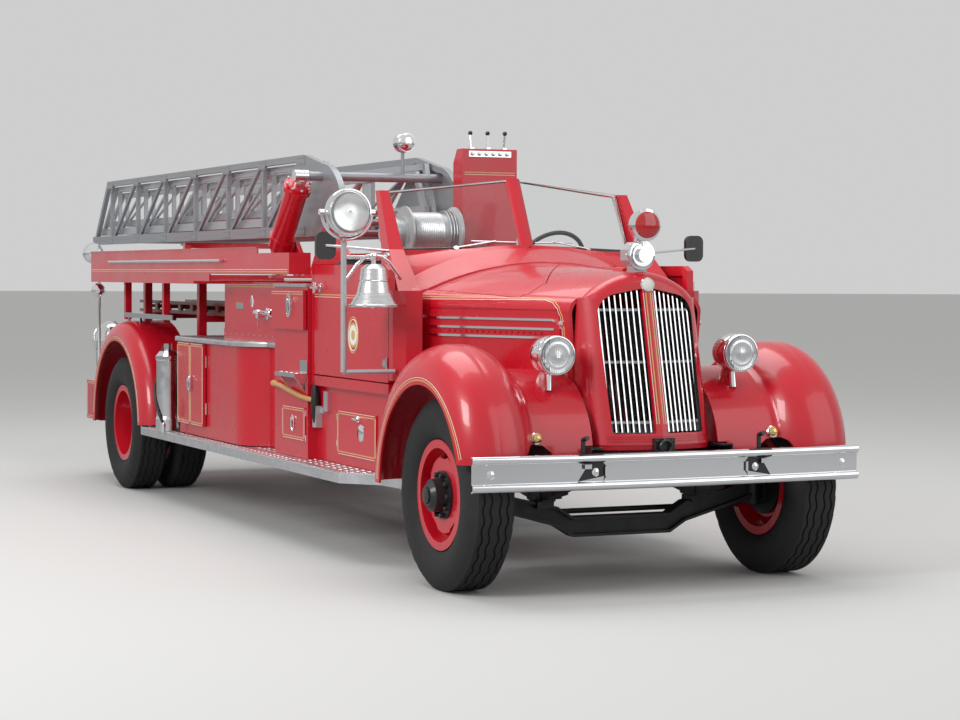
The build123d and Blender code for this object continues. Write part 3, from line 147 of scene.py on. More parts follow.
ALONG = (0.04, 1, 1)
paints = {
    "red_paint": finish(
        "red paint", (0.56, 0.006, 0.020), 0.30, coat=0.45, tone=0.05, patch=2.5, relief=0.00004, grain=40
    ),
    "grey_paint": finish(
        "grey enamel", (0.46, 0.47, 0.48), 0.36, metal=0.35, tone=0.08, relief=0.0002, grain=160
    ),
    "black_paint": finish(
        "chassis black", (0.012, 0.012, 0.013), 0.42, coat=0.3, tone=0.3, relief=0.0004, grain=120
    ),
    "chrome": finish("bright plate", (0.83, 0.84, 0.86), 0.07, metal=1.0, tone=0.03, haze=0.5, patch=9),
    "bright_tread": finish(
        "tread plate", (0.62, 0.63, 0.65), 0.30, metal=0.9, tone=0.14, patch=14, relief=0.0002
    ),
    "ladder_metal": finish(
        "ladder alloy", (0.34, 0.36, 0.38), 0.38, metal=0.55, tone=0.12, patch=30, relief=0.0003, run=ALONG
    ),
    "rod_steel": finish("ground steel", (0.74, 0.75, 0.76), 0.16, metal=1.0, tone=0.05, haze=0.4, patch=20),
    "forged_steel": finish(
        "forged steel", (0.016, 0.016, 0.017), 0.5, metal=0.2, tone=0.35, patch=12, relief=0.001, grain=90
    ),
    "spring_steel": finish(
        "spring steel", (0.03, 0.03, 0.032), 0.55, metal=0.3, tone=0.4, patch=18, relief=0.0006, grain=140
    ),
    "bell_metal": finish(
        "bell metal", (0.78, 0.78, 0.79), 0.24, metal=1.0, tone=0.05, haze=0.35, patch=12, run=(1, 1, 8)
    ),
    "seat_leather": finish(
        "black hide", (0.018, 0.017, 0.017), 0.46, coat=0.12, tone=0.35, patch=7, relief=0.0012, grain=230,
        cells=True
    ),
    "tyre": finish(
        "tyre rubber", (0.014, 0.014, 0.015), 0.74, tone=0.45, haze=0.12, patch=9, relief=0.0008, grain=220
    ),
    "glass": finish("flat glass", (0.96, 0.98, 0.97), 0.0, clear=1.0, tone=0.005),
    "core_black": finish(
        "core black", (0.006, 0.006, 0.006), 0.6, tone=0.4, relief=0.002, grain=110, cells=True
    ),
    "wheel_black": finish("hard rubber", (0.02, 0.02, 0.02), 0.35, tone=0.3, patch=16, relief=0.0003),
    "ladder_wood": finish(
        "ladder wood", (0.19, 0.05, 0.028), 0.4, coat=0.4, tone=0.45, patch=55, relief=0.0005, grain=90,
        run=ALONG
    ),
    "stripe_paint": finish("gold lining", (0.62, 0.40, 0.13), 0.35, tone=0.14, patch=12),
    "red_glass": finish("ruby glass", (0.62, 0.004, 0.006), 0.05, coat=1.0, clear=0.25, tone=0.1, patch=40),
    "brass": finish("polished brass", (0.80, 0.58, 0.24), 0.18, metal=1.0, tone=0.06, haze=0.4, patch=20),
}
cream = finish("cream lining", (0.86, 0.84, 0.76), 0.4)
reflector = finish("reflector", (0.93, 0.94, 0.95), 0.13, metal=1.0)
lens_glass = finish("fluted glass", (0.93, 0.95, 0.96), 0.04, clear=0.85)
dial_white = finish("dial face", (0.75, 0.74, 0.68), 0.5)
for part in frame["record"]["subparts"]:
    mesh = nodes[part["node"]].data
    mesh.materials.clear()
    mesh.materials.append(paints[part["material_slot"]])


# Body finish in two tones. Handles, treads and lamp rims are plated where the body round them is
# painted, so single faces of a node take a second finish.
FRONT_AXLE, REAR_AXLE, AXLE_HEIGHT = 4.57, -1.68, 0.515


def repaint(node, paint, chosen):
    """A second finish on the faces of a node that a test of their middle and normal picks."""
    mesh = nodes[node].data
    mesh.materials.append(paint)
    index = len(mesh.materials) - 1
    for face in mesh.polygons:
        if chosen(face.center, face.normal):
            face.material_index = index


def near_axle(x, radius, beyond):
    """Picks a wheel's faces that lie close round its axle, outside a half width."""
    return lambda p, n: math.hypot(p.x - x, p.z - AXLE_HEIGHT) < radius and abs(p.y) > beyond


chrome, tread, black = paints["chrome"], paints["bright_tread"], paints["black_paint"]
repaint("side_bodies", tread, lambda p, n: 1.2035 < p.z < 1.239 and p.x < 1.687)
repaint("side_bodies", tread, lambda p, n: 1.6115 < p.z < 1.631 and p.x > 1.689)
repaint("side_bodies", chrome, lambda p, n: 0.89 < p.z < 1.151 and 1.78 < p.x < 2.33 and abs(p.y) > 1.0225)
repaint("front_bumper", black, lambda p, n: p.x < 5.233 and abs(abs(p.y) - 0.48) < 0.075 and p.z > 0.64)
repaint("radiator_shell", paints["core_black"], lambda p, n: n.dot(p - Vector((4.72, 0, p.z))) < -0.02)
repaint("control_pedestal", chrome, lambda p, n: 2.612 > p.z > 2.521)
repaint("control_pedestal", black, lambda p, n: p.z > 2.612)
repaint("deck_frame", chrome, lambda p, n: abs(p.y) > 1.157)
repaint("side_mirrors", black, lambda p, n: p.x < 3.1345 and abs(p.y) > 1.137)
repaint("side_mirrors", chrome, lambda p, n: p.x > 3.1345 or abs(p.y) < 1.137)
repaint("floodlamps", reflector, lambda p, n: p.x > -2.668)
repaint("steering_wheel", paints["grey_paint"], lambda p, n: (p - Vector((2.867, 0.42, 1.754))).length < 0.19)
repaint("extinguishers", chrome, lambda p, n: p.z > 1.05)
for side in ("left", "right"):
    repaint(f"cab_door_{side}", chrome, lambda p, n: abs(p.y) > 1.0004)
    repaint(f"locker_door_{side}", chrome, lambda p, n: abs(p.y) > 1.0504)
    repaint(f"cabinet_door_{side}_front", chrome, lambda p, n: abs(p.y) > 1.1104)
    repaint(f"wheel_front_{side}", black, near_axle(FRONT_AXLE, 0.132, 1.03))
    repaint(f"wheels_rear_{side}", black, near_axle(REAR_AXLE, 0.092, 0.9))
lattice = finish("lattice alloy", (0.50, 0.52, 0.54), 0.36, metal=0.55)
for node in ("ladder_mid", "ladder_fly"):
    nodes[node].data.materials[0] = lattice


# Nose. The painted shell carries gold lines down its centre bar, a bare white disc at their head,
# and the black tow plate with its ring, bolted through the shell's foot.
AHEAD, BACK, RIGHTWARD, UP, DOWN = (1, 0, 0), (-1, 0, 0), (0, -1, 0), (0, 0, 1), (0, 0, -1)
OUTSIDE = 3


def circle(middle, across, up, count, first=0.0):
    """Points evenly round an oval, from its middle and its two half axes."""
    middle, across, up = Vector(middle), Vector(across), Vector(up)
    turns = [first + 2 * math.pi * number / count for number in range(count)]
    return [middle + across * math.cos(turn) + up * math.sin(turn) for turn in turns]


class Heap:
    """Faces gathered for one piece, in the engine's frame."""

    def __init__(self):
        self.verts = []
        self.faces = []

    def put(self, verts, faces):
        base = len(self.verts)
        self.verts += [Vector(vert) for vert in verts]
        self.faces += [[corner + base for corner in face] for face in faces]

    def box(self, low, high, side=1):
        """A block between two corners, with side -1 turned over to the engine's right."""
        xs, ys, zs = zip(low, high)
        corners = [(x, side * y, z) for x in xs for y in ys for z in zs]
        sides = [(0, 1, 3, 2), (4, 6, 7, 5), (0, 4, 5, 1), (2, 3, 7, 6), (0, 2, 6, 4), (1, 5, 7, 3)]
        self.put(corners, sides)

    def loft(self, rings, closed=False):
        """A skin over rings of equally many points, with flat ends unless it closes on itself."""
        wide, count = len(rings[0]), len(rings)
        faces = [] if closed else [range(wide), range(wide * (count - 1), wide * count)]
        for row in range(count if closed else count - 1):
            near, far = row * wide, (row + 1) % count * wide
            for corner in range(wide):
                after = (corner + 1) % wide
                faces.append((near + corner, near + after, far + after, far + corner))
        self.put([spot for ring in rings for spot in ring], faces)

    def turned(self, profile, place, axis, sides=24):
        """A solid turned about an axis from its (radius, distance along) profile."""
        turn = Vector(axis).to_track_quat("Z", "Y")
        across, up, along = (turn @ Vector(unit) for unit in ((1, 0, 0), (0, 1, 0), (0, 0, 1)))
        place = Vector(place)
        rings = [circle(place + along * far, across * radius, up * radius, sides) for radius, far in profile]
        self.loft(rings)

    def bar(self, start, end, radius, sides=10):
        along = Vector(end) - Vector(start)
        self.turned([(radius, 0), (radius, along.length)], start, along, sides)

    def tube(self, points, radius, sides=8, closed=False):
        """A round bar bent through points."""
        points = [Vector(point) for point in points]
        count = len(points)
        rings, across = [], None
        for number, point in enumerate(points):
            before = points[number - 1] if number or closed else point
            after = points[(number + 1) % count] if number < count - 1 or closed else point
            along = (after - before).normalized()
            if across is None:
                across = along.orthogonal().normalized()
            across = (across - along * across.dot(along)).normalized()
            rings.append(circle(point, across * radius, along.cross(across) * radius, sides))
        self.loft(rings, closed)

    def bolts(self, places, axis, radius=0.009, tall=0.007, sides=6):
        for place in places:
            self.turned([(radius, 0), (radius, tall * 0.7), (radius * 0.6, tall)], place, axis, sides)

    def both(self):
        """The same again on the other side of the engine."""
        self.put([(v.x, -v.y, v.z) for v in self.verts], list(self.faces))
        return self

    def done(self, name, body, slot, paint=None):
        """The piece itself: one mesh with outward faces, riding on a body, in the given paint or else the
        finish of its slot in the record.
        """
        mesh = bpy.data.meshes.new(name)
        mesh.from_pydata([tuple(vert) for vert in self.verts], [], self.faces)
        work = bmesh.new()
        work.from_mesh(mesh)
        bmesh.ops.recalc_face_normals(work, faces=work.faces)
        work.to_mesh(mesh)
        work.free()
        mesh.shade_smooth()
        mesh.set_sharp_from_angle(angle=math.radians(38))
        mesh.materials.append(paint or paints[slot])
        piece = bpy.data.objects.new(name, mesh)
        bpy.context.scene.collection.objects.link(piece)
        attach(piece, body)
        return piece


def skin_of(node):
    """A node's faces, for paths and fittings to land on."""
    mesh = nodes[node].data
    spots = [vert.co for vert in mesh.vertices]
    return BVHTree.FromPolygons(spots, [face.vertices for face in mesh.polygons])


def landing(tree, start, toward):
    """Where a ray meets a skin, and the skin's normal on the side the ray came from."""
    toward = Vector(toward)
    place, normal, _, _ = tree.ray_cast(Vector(start), toward)
    if place:
        return place, normal if normal.dot(toward) < 0 else -normal


def dropped(tree, points, toward, gap=0.04):
    """Points along a path, each landed on a skin; those that miss it are left out."""
    found = []
    points = [Vector(point) for point in points]
    for start, end in zip(points, points[1:]):
        steps = max(1, math.ceil((end - start).length / gap))
        for step in range(steps + (end is points[-1])):
            found.append(landing(tree, start.lerp(end, step / steps), toward))
    return [spot for spot in found if spot]


def beside(path, side=1):
    """A path of (x, z) places, stood off outside one side of the engine."""
    return [(x, side * OUTSIDE, z) for x, z in path]


def bead(heap, found, width, rise, shift=0.0):
    """A low strip along a dropped path: painted lining when it is thin, a moulding when it is thick."""
    rings = []
    for number, (place, normal) in enumerate(found):
        along = (found[min(number + 1, len(found) - 1)][0] - found[max(number - 1, 0)][0]).normalized()
        across = normal.cross(along).normalized()
        middle = place + across * shift
        root, crest = middle - normal * 0.001, middle + normal * rise
        foot, top = across * width / 2, across * width * 0.36
        rings.append((root - foot, crest - top, crest + top, root + foot))
    if len(rings) > 1:
        heap.loft(rings)


gold, cream_lines = {}, {}


def lining(body, found, flip):
    """A gold line with a finer cream one beside it."""
    bead(gold.setdefault(body, Heap()), found, 0.008, 0.0009)
    bead(cream_lines.setdefault(body, Heap()), found, 0.0035, 0.0009, 0.014 * flip)


def side_line(body, tree, side, path, gap=0.04, flip=-1):
    """Lining along (x, z) places, laid on from outside one side."""
    lining(body, dropped(tree, beside(path, side), (0, -side, 0), gap), flip * side)


nose = skin_of("radiator_shell")
for side in (1, -1):
    lining("chassis", dropped(nose, [(6, side * 0.014, 0.90), (6, side * 0.014, 1.60)], BACK), -side)
badge, badge_out = landing(nose, (6, 0, 1.642), BACK)
heap = Heap()
heap.turned([(0.033, -0.004), (0.033, 0.006), (0.026, 0.011), (0.0005, 0.013)], badge, badge_out, 28)
heap.done("nose_disc", "chassis", "stripe_paint", dial_white)
heap = Heap()
heap.turned([(0.040, -0.006), (0.040, 0.004), (0.036, 0.009), (0.032, 0.004)], badge, badge_out, 28)
heap.done("nose_disc_ring", "chassis", "chrome")
heap = Heap()
heap.box((5.070, -0.062, 0.742), (5.090, 0.062, 0.826))
heap.tube(circle((5.108, 0, 0.782), (0, 0.034, 0), (0, 0, 0.034), 16), 0.009, closed=True)
heap.bolts([(5.090, y, z) for y in (-0.045, 0.045) for z in (0.758, 0.810)], AHEAD)
heap.done("tow_plate", "chassis", "black_paint")


# Hood. Three bright mouldings run back along each side from the nose, the top one hooked down at its
# front end, with a row of small louvres between the lower two; knobs and a hinge strip are screwed on.
HOOD_LINE = (
    (3.66, 1.566), (4.56, 1.566), (4.63, 1.552), (4.68, 1.52), (4.705, 1.47), (4.712, 1.40), (4.712, 1.12),
)
hood = skin_of("hood_shell")
mouldings, louvres = Heap(), Heap()
for path in (
    ((3.730, 1.450), (4.640, 1.450), (4.672, 1.441), (4.684, 1.424), (4.686, 1.404)),
    ((3.730, 1.400), (4.650, 1.400)),
    ((3.730, 1.352), (4.620, 1.352)),
):
    bead(mouldings, dropped(hood, beside(path), RIGHTWARD, 0.12), 0.017, 0.011)
for number in range(17):
    x = 3.86 + 0.042 * number
    bead(louvres, dropped(hood, beside([(x, 1.376), (x + 0.026, 1.376)]), RIGHTWARD), 0.012, 0.008)
for x, z in ((3.69, 1.452), (4.70, 1.432)):
    spot, out = landing(hood, (x, OUTSIDE, z), RIGHTWARD)
    mouldings.bolts([spot], out, 0.014, 0.016, 16)
mouldings.both().done("hood_mouldings", "chassis", "chrome")
louvres.both().done("hood_louvres", "chassis", "red_paint")
heap = Heap()
bead(heap, dropped(hood, [(3.70, 0, 3), (4.742, 0, 3)], DOWN, 0.2), 0.014, 0.006)
bead(heap, dropped(hood, [(4.52, 0, 3), (4.64, 0, 3)], DOWN), 0.05, 0.014)
heap.done("hood_hinge", "chassis", "red_paint")
for side in (1, -1):
    side_line("chassis", hood, side, HOOD_LINE, flip=1)


# Fenders and bumper. Each arch is lined in gold and cream close to its lip, a small amber lamp sits on
# the front fender's inner edge, and round-headed bolts hold the plated bumper to its brackets.
def arc(middle, radius, first, last, count=24):
    """Places (x, z) along an arc seen from the side, between two angles in degrees."""
    angles = [math.radians(first + (last - first) * step / count) for step in range(count + 1)]
    return [(middle[0] + radius * math.cos(a), middle[1] + radius * math.sin(a)) for a in angles]


front_guards, rear_guards, bumper = skin_of("front_fenders"), skin_of("rear_fenders"), skin_of("front_bumper")
for side in (1, -1):
    side_line("chassis", front_guards, side, arc((4.54, 0.53), 0.600, 178, 90))
    side_line("chassis", front_guards, side, arc((4.54, 0.616), 0.514, 90, 14))
    side_line("chassis", rear_guards, side, arc((REAR_AXLE, AXLE_HEIGHT), 0.665, 176, 4))
heap, lamp = Heap(), Heap()
for side in (1, -1):
    spot, out = landing(front_guards, (6, side * 0.72, 0.835), BACK)
    heap.turned([(0.034, -0.01), (0.034, 0.012), (0.028, 0.018)], spot, out, 20)
    lamp.turned([(0.028, 0.010), (0.026, 0.026), (0.012, 0.034), (0.0005, 0.036)], spot, out, 20)
heap.done("fender_lamp_rims", "chassis", "chrome")
lamp.done("fender_lamp_lenses", "chassis", "brass")
heap = Heap()
for y in (0.48, 1.06, -0.48, -1.06):
    spot, out = landing(bumper, (6, y, 0.672), BACK)
    heap.turned([(0.022, -0.004), (0.022, 0.004), (0.014, 0.011), (0.0005, 0.013)], spot, out, 16)
heap.done("bumper_bolts", "chassis", "chrome")


# Lamps. Domed glass over a bright reflector, fluted upright in the headlights and plain in the post lamp,
# and ruby glass over the siren's lamp; each shell is plated and has a rolled rim.
def fluted(heap, place, radius, rise, flutes=15):
    """A domed glass facing forward, with upright flutes."""
    columns, rows = flutes * 2, 10
    verts = []
    for column in range(columns + 1):
        y = radius * (2 * column / columns - 1) * 0.998
        reach = math.sqrt(radius * radius - y * y)
        for row in range(rows + 1):
            z = reach * (2 * row / rows - 1)
            swell = rise * (1 - (y * y + z * z) / radius**2) + 0.0024 * (column % 2)
            verts.append(Vector(place) + Vector((swell, y, z)))
    faces = [
        [c * (rows + 1) + r, c * (rows + 1) + r + 1, (c + 1) * (rows + 1) + r + 1, (c + 1) * (rows + 1) + r]
        for c in range(columns) for r in range(rows)
    ]
    heap.put(verts, faces)


POST_LAMP = (3.752, -1.303, 2.040)
glass, rims = Heap(), Heap()
for y in (0.562, -0.562):
    fluted(glass, (4.932, y, 1.268), 0.097, 0.026)
    rims.turned(
        [(0.095, -0.002), (0.098, 0.003), (0.103, 0.002), (0.1055, -0.006), (0.1045, -0.018)],
        (4.934, y, 1.268), AHEAD, 40
    )
glass.turned(
    [(0.124, 0.030), (0.124, 0.034), (0.110, 0.050), (0.080, 0.064), (0.040, 0.072), (0.0005, 0.074)],
    POST_LAMP, AHEAD, 48
)
rims.turned(
    [(0.120, 0.034), (0.124, 0.042), (0.132, 0.040), (0.136, 0.030), (0.136, 0.018)], POST_LAMP, AHEAD, 48
)
glass.done("lamp_glasses", "chassis", "glass", lens_glass)
rims.done("lamp_rims", "chassis", "chrome")
repaint("headlights", reflector, lambda p, n: p.x > 4.927)
repaint("bell_post", chrome, lambda p, n: p.z > 1.93)
repaint("bell_post", reflector, lambda p, n: p.x > 3.782)
repaint("siren", chrome, lambda p, n: p.z > 1.884 or p.x > 4.8335)
repaint("siren", paints["red_glass"], lambda p, n: p.z > 1.88 and p.x > 4.8755)
heap = Heap()
heap.turned(
    [(0.073, 0), (0.071, 0.014), (0.05, 0.026), (0.025, 0.031), (0.0005, 0.032)], (4.873, 0, 1.965), AHEAD, 32
)
heap.done("siren_ruby_glass", "chassis", "red_glass")
heap = Heap()
heap.turned([(0.071, 0), (0.081, 0.002), (0.081, 0.012), (0.071, 0.014)], (4.806, 0, 1.803), AHEAD, 32)
heap.bolts(circle((4.78, 0, 1.803), (0, 0.075, 0), (0, 0, 0.075), 8), UP, 0.006, 0.006)
heap.tube([(4.74, 0, 1.880), (4.76, 0, 1.915), (4.79, 0, 1.935)], 0.008)
heap.done("siren_rings", "chassis", "chrome")


# Windscreen. Two flat panes in bright channel, bedded on black rubber along the foot, with a plated
# wiper low on each pane, a painted cover up the centre post and a painted panel from the foot to the cowl.
PANE = [Vector(corner) for corner in (
    (3.352, 0.026, 1.862), (3.226, 0.757, 1.838), (3.014, 0.757, 2.182), (3.140, 0.026, 2.262),
)]
RIBS = 18
COVER_SECTION = (
    (-0.012, -0.046), (0.006, -0.046), (0.022, -0.026), (0.026, 0), (0.022, 0.026), (0.006, 0.046),
    (-0.012, 0.046),
)


def on_pane(u, v, out=0.0):
    """A point on the left pane: u outward from the centre post, v up from the foot."""
    across, up = PANE[1] - PANE[0], PANE[3] - PANE[0]
    return PANE[0] + across * u + up * v + across.cross(up).normalized() * out


rubber, channel, wipers = Heap(), Heap(), Heap()
rubber.tube([on_pane(u, -0.01, 0.003) for u in (-0.02, 0.5, 1.02)], 0.013)
channel.tube([on_pane(1.0, 0), PANE[2], PANE[3], on_pane(0, 0)], 0.009)
for start, end, radius in (
    (on_pane(0.56, -0.03, 0.02), on_pane(0.56, -0.02, 0.03), 0.016),
    (on_pane(0.56, -0.02, 0.028), on_pane(0.22, 0.07, 0.020), 0.005),
    (on_pane(0.04, 0.045, 0.014), on_pane(0.42, 0.085, 0.014), 0.006),
):
    wipers.bar(start, end, radius)
cowl_skin, scuttle, ribs = skin_of("cowl"), Heap(), []
for step in range(RIBS + 1):
    foot = on_pane(step / (RIBS - 1) - 0.02, -0.005, 0.004)
    rest = cowl_skin.ray_cast(Vector((3.400, foot.y, 2.5)), Vector(DOWN))[0] - Vector((0, 0, 0.001))
    hump = (foot + rest) / 2 + Vector((0.012, 0, 0.014))
    below = Vector((0.004, 0, 0.008))
    ribs.append((foot, hump, rest, rest - below, hump - below, foot - Vector((0.006, 0, 0.008))))
scuttle.loft(ribs)
scuttle.both().done("scuttle_filler", "chassis", "red_paint")
cover, lean = Heap(), Vector((0.891, 0, 0.454))
ends = (Vector((3.368, 0, 1.834)), Vector((3.148, 0, 2.270)))
cover.loft([[end + lean * out + Vector((0, across, 0)) for out, across in COVER_SECTION] for end in ends])
cover.done("windscreen_post_cover", "chassis", "red_paint")
rubber.both().done("windscreen_rubber", "chassis", "wheel_black")
channel.both().done("windscreen_channel", "chassis", "chrome")
wipers.both().done("wipers", "chassis", "chrome")


# Cab. Round dials with plated bezels on the dash, three pedals, gear and brake levers with black knobs,
# a ribbed rubber mat, the horn button and the mirrors' glass.
bezels, faces, knobs, mat = Heap(), Heap(), Heap(), Heap()
for y, z, radius in (
    (0.42, 1.70, 0.058), (0.28, 1.69, 0.040), (0.56, 1.69, 0.040), (0.16, 1.68, 0.030), (0.68, 1.68, 0.030)
):
    bezel = [(radius, 0), (radius, 0.016), (radius - 0.006, 0.019), (radius - 0.008, 0.014)]
    bezels.turned(bezel, (3.382, y, z), BACK, 28)
    faces.turned([(radius - 0.008, 0), (radius - 0.008, 0.0145)], (3.382, y, z), BACK, 28)
for y in (0.02, -0.06, -0.14, -0.22):
    knobs.turned([(0.006, 0), (0.006, 0.02), (0.013, 0.022), (0.013, 0.03)], (3.382, y, 1.66), BACK, 14)
for y in (0.30, 0.42, 0.56):
    mat.box((3.50, y - 0.035, 1.10), (3.515, y + 0.035, 1.17))
    bezels.bar((3.512, y, 1.12), (3.59, y, 1.08), 0.008)
for x, y, lean in ((3.10, 0.10, -0.10), (3.16, 0.02, -0.04)):
    bezels.bar((x, y, 1.04), (x + lean, y, 1.50), 0.009)
    knobs.turned([(0.008, 0), (0.022, 0.012), (0.024, 0.024), (0.014, 0.040)], (x + lean, y, 1.49), UP, 16)
for number in range(12):
    mat.box((2.915, -0.84 + 0.14 * number, 1.040), (3.275, -0.725 + 0.14 * number, 1.046))
bezels.done("dash_bezels", "chassis", "chrome")
faces.done("dash_dials", "chassis", "stripe_paint", dial_white)
knobs.done("cab_knobs", "chassis", "wheel_black")
mat.done("cab_mat", "chassis", "wheel_black")
heap = Heap()
heap.turned(
    [(0.026, 0), (0.026, 0.012), (0.018, 0.018), (0.0005, 0.019)],
    (2.858, 0.42, 1.760), (-0.833, 0, 0.553), 20
)
heap.done("horn_button", "hand_wheel", "wheel_black")
heap = Heap()
for y in (1.285, -1.200):
    heap.box((3.1045, y - 0.052, 1.802), (3.1062, y + 0.052, 1.922))
heap.done("mirror_glasses", "chassis", "chrome", reflector)


# Bench seat. Black hide over hair and springs: a cushion and a squab, each crowned, drawn down in sewn
# pleats and edged with piping, with the sides pulled in between the corners.
PLEATS = 16
PAD_STEPS = (PLEATS * 8, 22, 6)
PAD_CORNER = 0.055


def on_pad(low, high, face, u, v, w):
    """A point on a pad in the box from low to high: u across, v along, w through, each from -1 to 1."""
    along = 2 - face
    wide, deep, thick = (high[1] - low[1]) / 2, (high[along] - low[along]) / 2, high[face] - low[face]
    y, d = abs(u) * wide, abs(v) * deep
    over = (y - wide + PAD_CORNER, d - deep + PAD_CORNER)
    if min(over) > 0:
        keep = max(over) / math.hypot(*over)
        y, d = wide - PAD_CORNER + over[0] * keep, deep - PAD_CORNER + over[1] * keep
    bulge = 0.007 * w * w
    d -= abs(v) ** 7 * (0.014 * (1 - u**6) + bulge)
    y -= abs(u) ** 40 * (0.014 * (1 - v**4) + bulge)
    pleat = abs(math.sin(math.pi * PLEATS * (u + 1) / 2)) ** 0.55
    crown = 0.030 * (1 - u**24) * (1 - v * v) + 0.012 * (pleat - 1) * (1 - u**60) * (1 - v**12)
    spot = [0, 0, 0]
    spot[1] = (low[1] + high[1]) / 2 + math.copysign(y, u)
    spot[along] = (low[along] + high[along]) / 2 + math.copysign(d, v)
    spot[face] = low[face] + (w + 1) / 2 * (thick - 0.030 + crown)
    return Vector(spot)


piping = Heap()
for name, low, high, face in (
    ("seat_cushion", (2.383, -0.853, 1.333), (2.893, 0.853, 1.450), 2),
    ("seat_squab", (2.368, -0.853, 1.459), (2.480, 0.853, 1.793), 0),
):
    pad, index = Heap(), {}
    for axis in range(3):
        first, second = (axis + 1) % 3, (axis + 2) % 3
        for end in (0, PAD_STEPS[axis]):
            for i in range(PAD_STEPS[first]):
                for j in range(PAD_STEPS[second]):
                    ring = []
                    for add_i, add_j in ((0, 0), (1, 0), (1, 1), (0, 1)):
                        key = [end, end, end]
                        key[first], key[second] = i + add_i, j + add_j
                        ring.append(index.setdefault(tuple(key), len(index)))
                    pad.faces.append(ring)
    for key in index:
        pad.verts.append(
            on_pad(low, high, face, *(2 * step / count - 1 for step, count in zip(key, PAD_STEPS)))
        )
    piece = pad.done(name, "chassis", "seat_leather")
    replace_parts(piece, "bench_seat")
    for w in (1, -1):
        edge = [on_pad(low, high, face, step / 60, -1, w) for step in range(-60, 60)]
        edge += [on_pad(low, high, face, 1, step / 12, w) for step in range(-12, 12)]
        edge += [on_pad(low, high, face, -step / 60, 1, w) for step in range(-60, 60)]
        edge += [on_pad(low, high, face, -1, -step / 12, w) for step in range(-12, 12)]
        piping.tube(edge, 0.0055, 8, closed=True)
piping.done("seat_piping", "chassis", "seat_leather")


# Bell. Cast and polished, with two raised beads, swung in a curved yoke between the lamp post and an
# arm off the cowl; the clapper hangs free inside. The post lamp stands in a U of its own.
BELL_YOKE = (
    (3.716, -1.300, 1.660), (3.728, -1.278, 1.690), (3.744, -1.240, 1.750), (3.755, -1.195, 1.790),
    (3.761, -1.146, 1.803), (3.757, -1.095, 1.795), (3.745, -1.045, 1.762), (3.722, -0.990, 1.700),
    (3.70, -0.955, 1.665),
)


def on_bell(z):
    """A place on the bell's own axis."""
    return (3.761, -1.146, z)


heap = Heap()
heap.tube(BELL_YOKE, 0.011, 10)
heap.turned(
    [(0.0005, -0.020), (0.014, -0.014), (0.020, 0), (0.014, 0.014), (0.0005, 0.020)],
    (3.750, -1.060, 1.800), UP, 16
)
heap.turned([(0.020, 0), (0.026, 0.008), (0.026, 0.024), (0.016, 0.034)], on_bell(1.774), UP, 20)
hoop = circle(POST_LAMP, (0, 0.152, 0), (0, 0, 0.152), 24)
heap.tube(hoop[12:] + hoop[:1], 0.009)
for y in (-1.455, -1.151):
    heap.turned([(0.017, -0.014), (0.017, 0.014)], (3.752, y, 2.040), (0, 1, 0), 14)
heap.turned([(0.026, 0), (0.026, 0.03)], (3.716, -1.309, 1.905), UP, 16)
heap.done("bell_yoke", "chassis", "grey_paint", chrome)
heap = Heap()
heap.turned([(0.1405, 0), (0.1455, 0.004), (0.1405, 0.009)], on_bell(1.516), UP, 40)
heap.turned([(0.0815, 0), (0.0845, 0.004), (0.0805, 0.008)], on_bell(1.652), UP, 40)
heap.bar(on_bell(1.720), on_bell(1.520), 0.007)
heap.turned([(0.008, 0), (0.024, 0.012), (0.026, 0.026), (0.010, 0.042)], on_bell(1.496), UP, 16)
heap.done("bell_beads_clapper", "chassis", "bell_metal")


# Cab doors. Lined at the belt, with a plain painted rosette below, two plated hinges on the front edge
# and a pull beside the latch.
for side, body, node in ((1, "door_l", "cab_door_left"), (-1, "door_r", "cab_door_right")):
    door, out = skin_of(node), (0, side, 0)
    side_line(body, door, side, [(3.60, 1.566), (2.39, 1.566)])
    heap = Heap()
    for z in (1.18, 1.62):
        heap.bar((3.612, side * 1.006, z - 0.035), (3.612, side * 1.006, z + 0.035), 0.008)
        heap.box((3.545, 1.0, z - 0.022), (3.606, 1.005, z + 0.022), side)
        heap.bolts([(3.56, side * 1.005, z), (3.585, side * 1.005, z)], out, 0.005, 0.003)
    spot, normal = landing(door, (3.06, side * OUTSIDE, 1.330), (0, -side, 0))
    for reach, store in ((0.108, gold), (0.094, cream_lines)):
        store[body].tube(circle(spot, (reach * 0.78, 0, 0), (0, 0, reach), 40), 0.0035, 6, closed=True)
    for reach, rise, store in ((0.074, 0.0008, gold), (0.060, 0.0014, cream_lines), (0.030, 0.0020, gold)):
        store[body].turned([(reach, -0.001), (reach, rise), (0.0005, rise)], spot, normal, 32)
    heap.turned([(0.030, 0), (0.030, 0.004), (0.022, 0.007)], (2.480, side * 1.0, 1.610), out, 20)
    heap.bar((2.480, side * 1.038, 1.575), (2.480, side * 1.038, 1.645), 0.009)
    heap.done(f"{node}_furniture", body, "chrome")


# Wheels and tyres. Red discs held by ten black lug nuts; each tyre carries five zigzag ribs and blocked
# shoulders, is turned in one piece of rubber, and stands for the plain tyre under it.
TYRE_WALL = (
    (-0.092, 0.265), (-0.092, 0.299), (-0.106, 0.308), (-0.122, 0.330), (-0.134, 0.362), (-0.139, 0.400),
    (-0.136, 0.440), (-0.122, 0.480), (-0.112, 0.494),
)
TREAD_EDGES = (-0.096, -0.074, -0.062, -0.032, -0.020, 0.020, 0.032, 0.062, 0.074, 0.096)
TYRE_SEGMENTS = 120
LUG_NUT = ((0.015, 0), (0.015, 0.020), (0.010, 0.026))


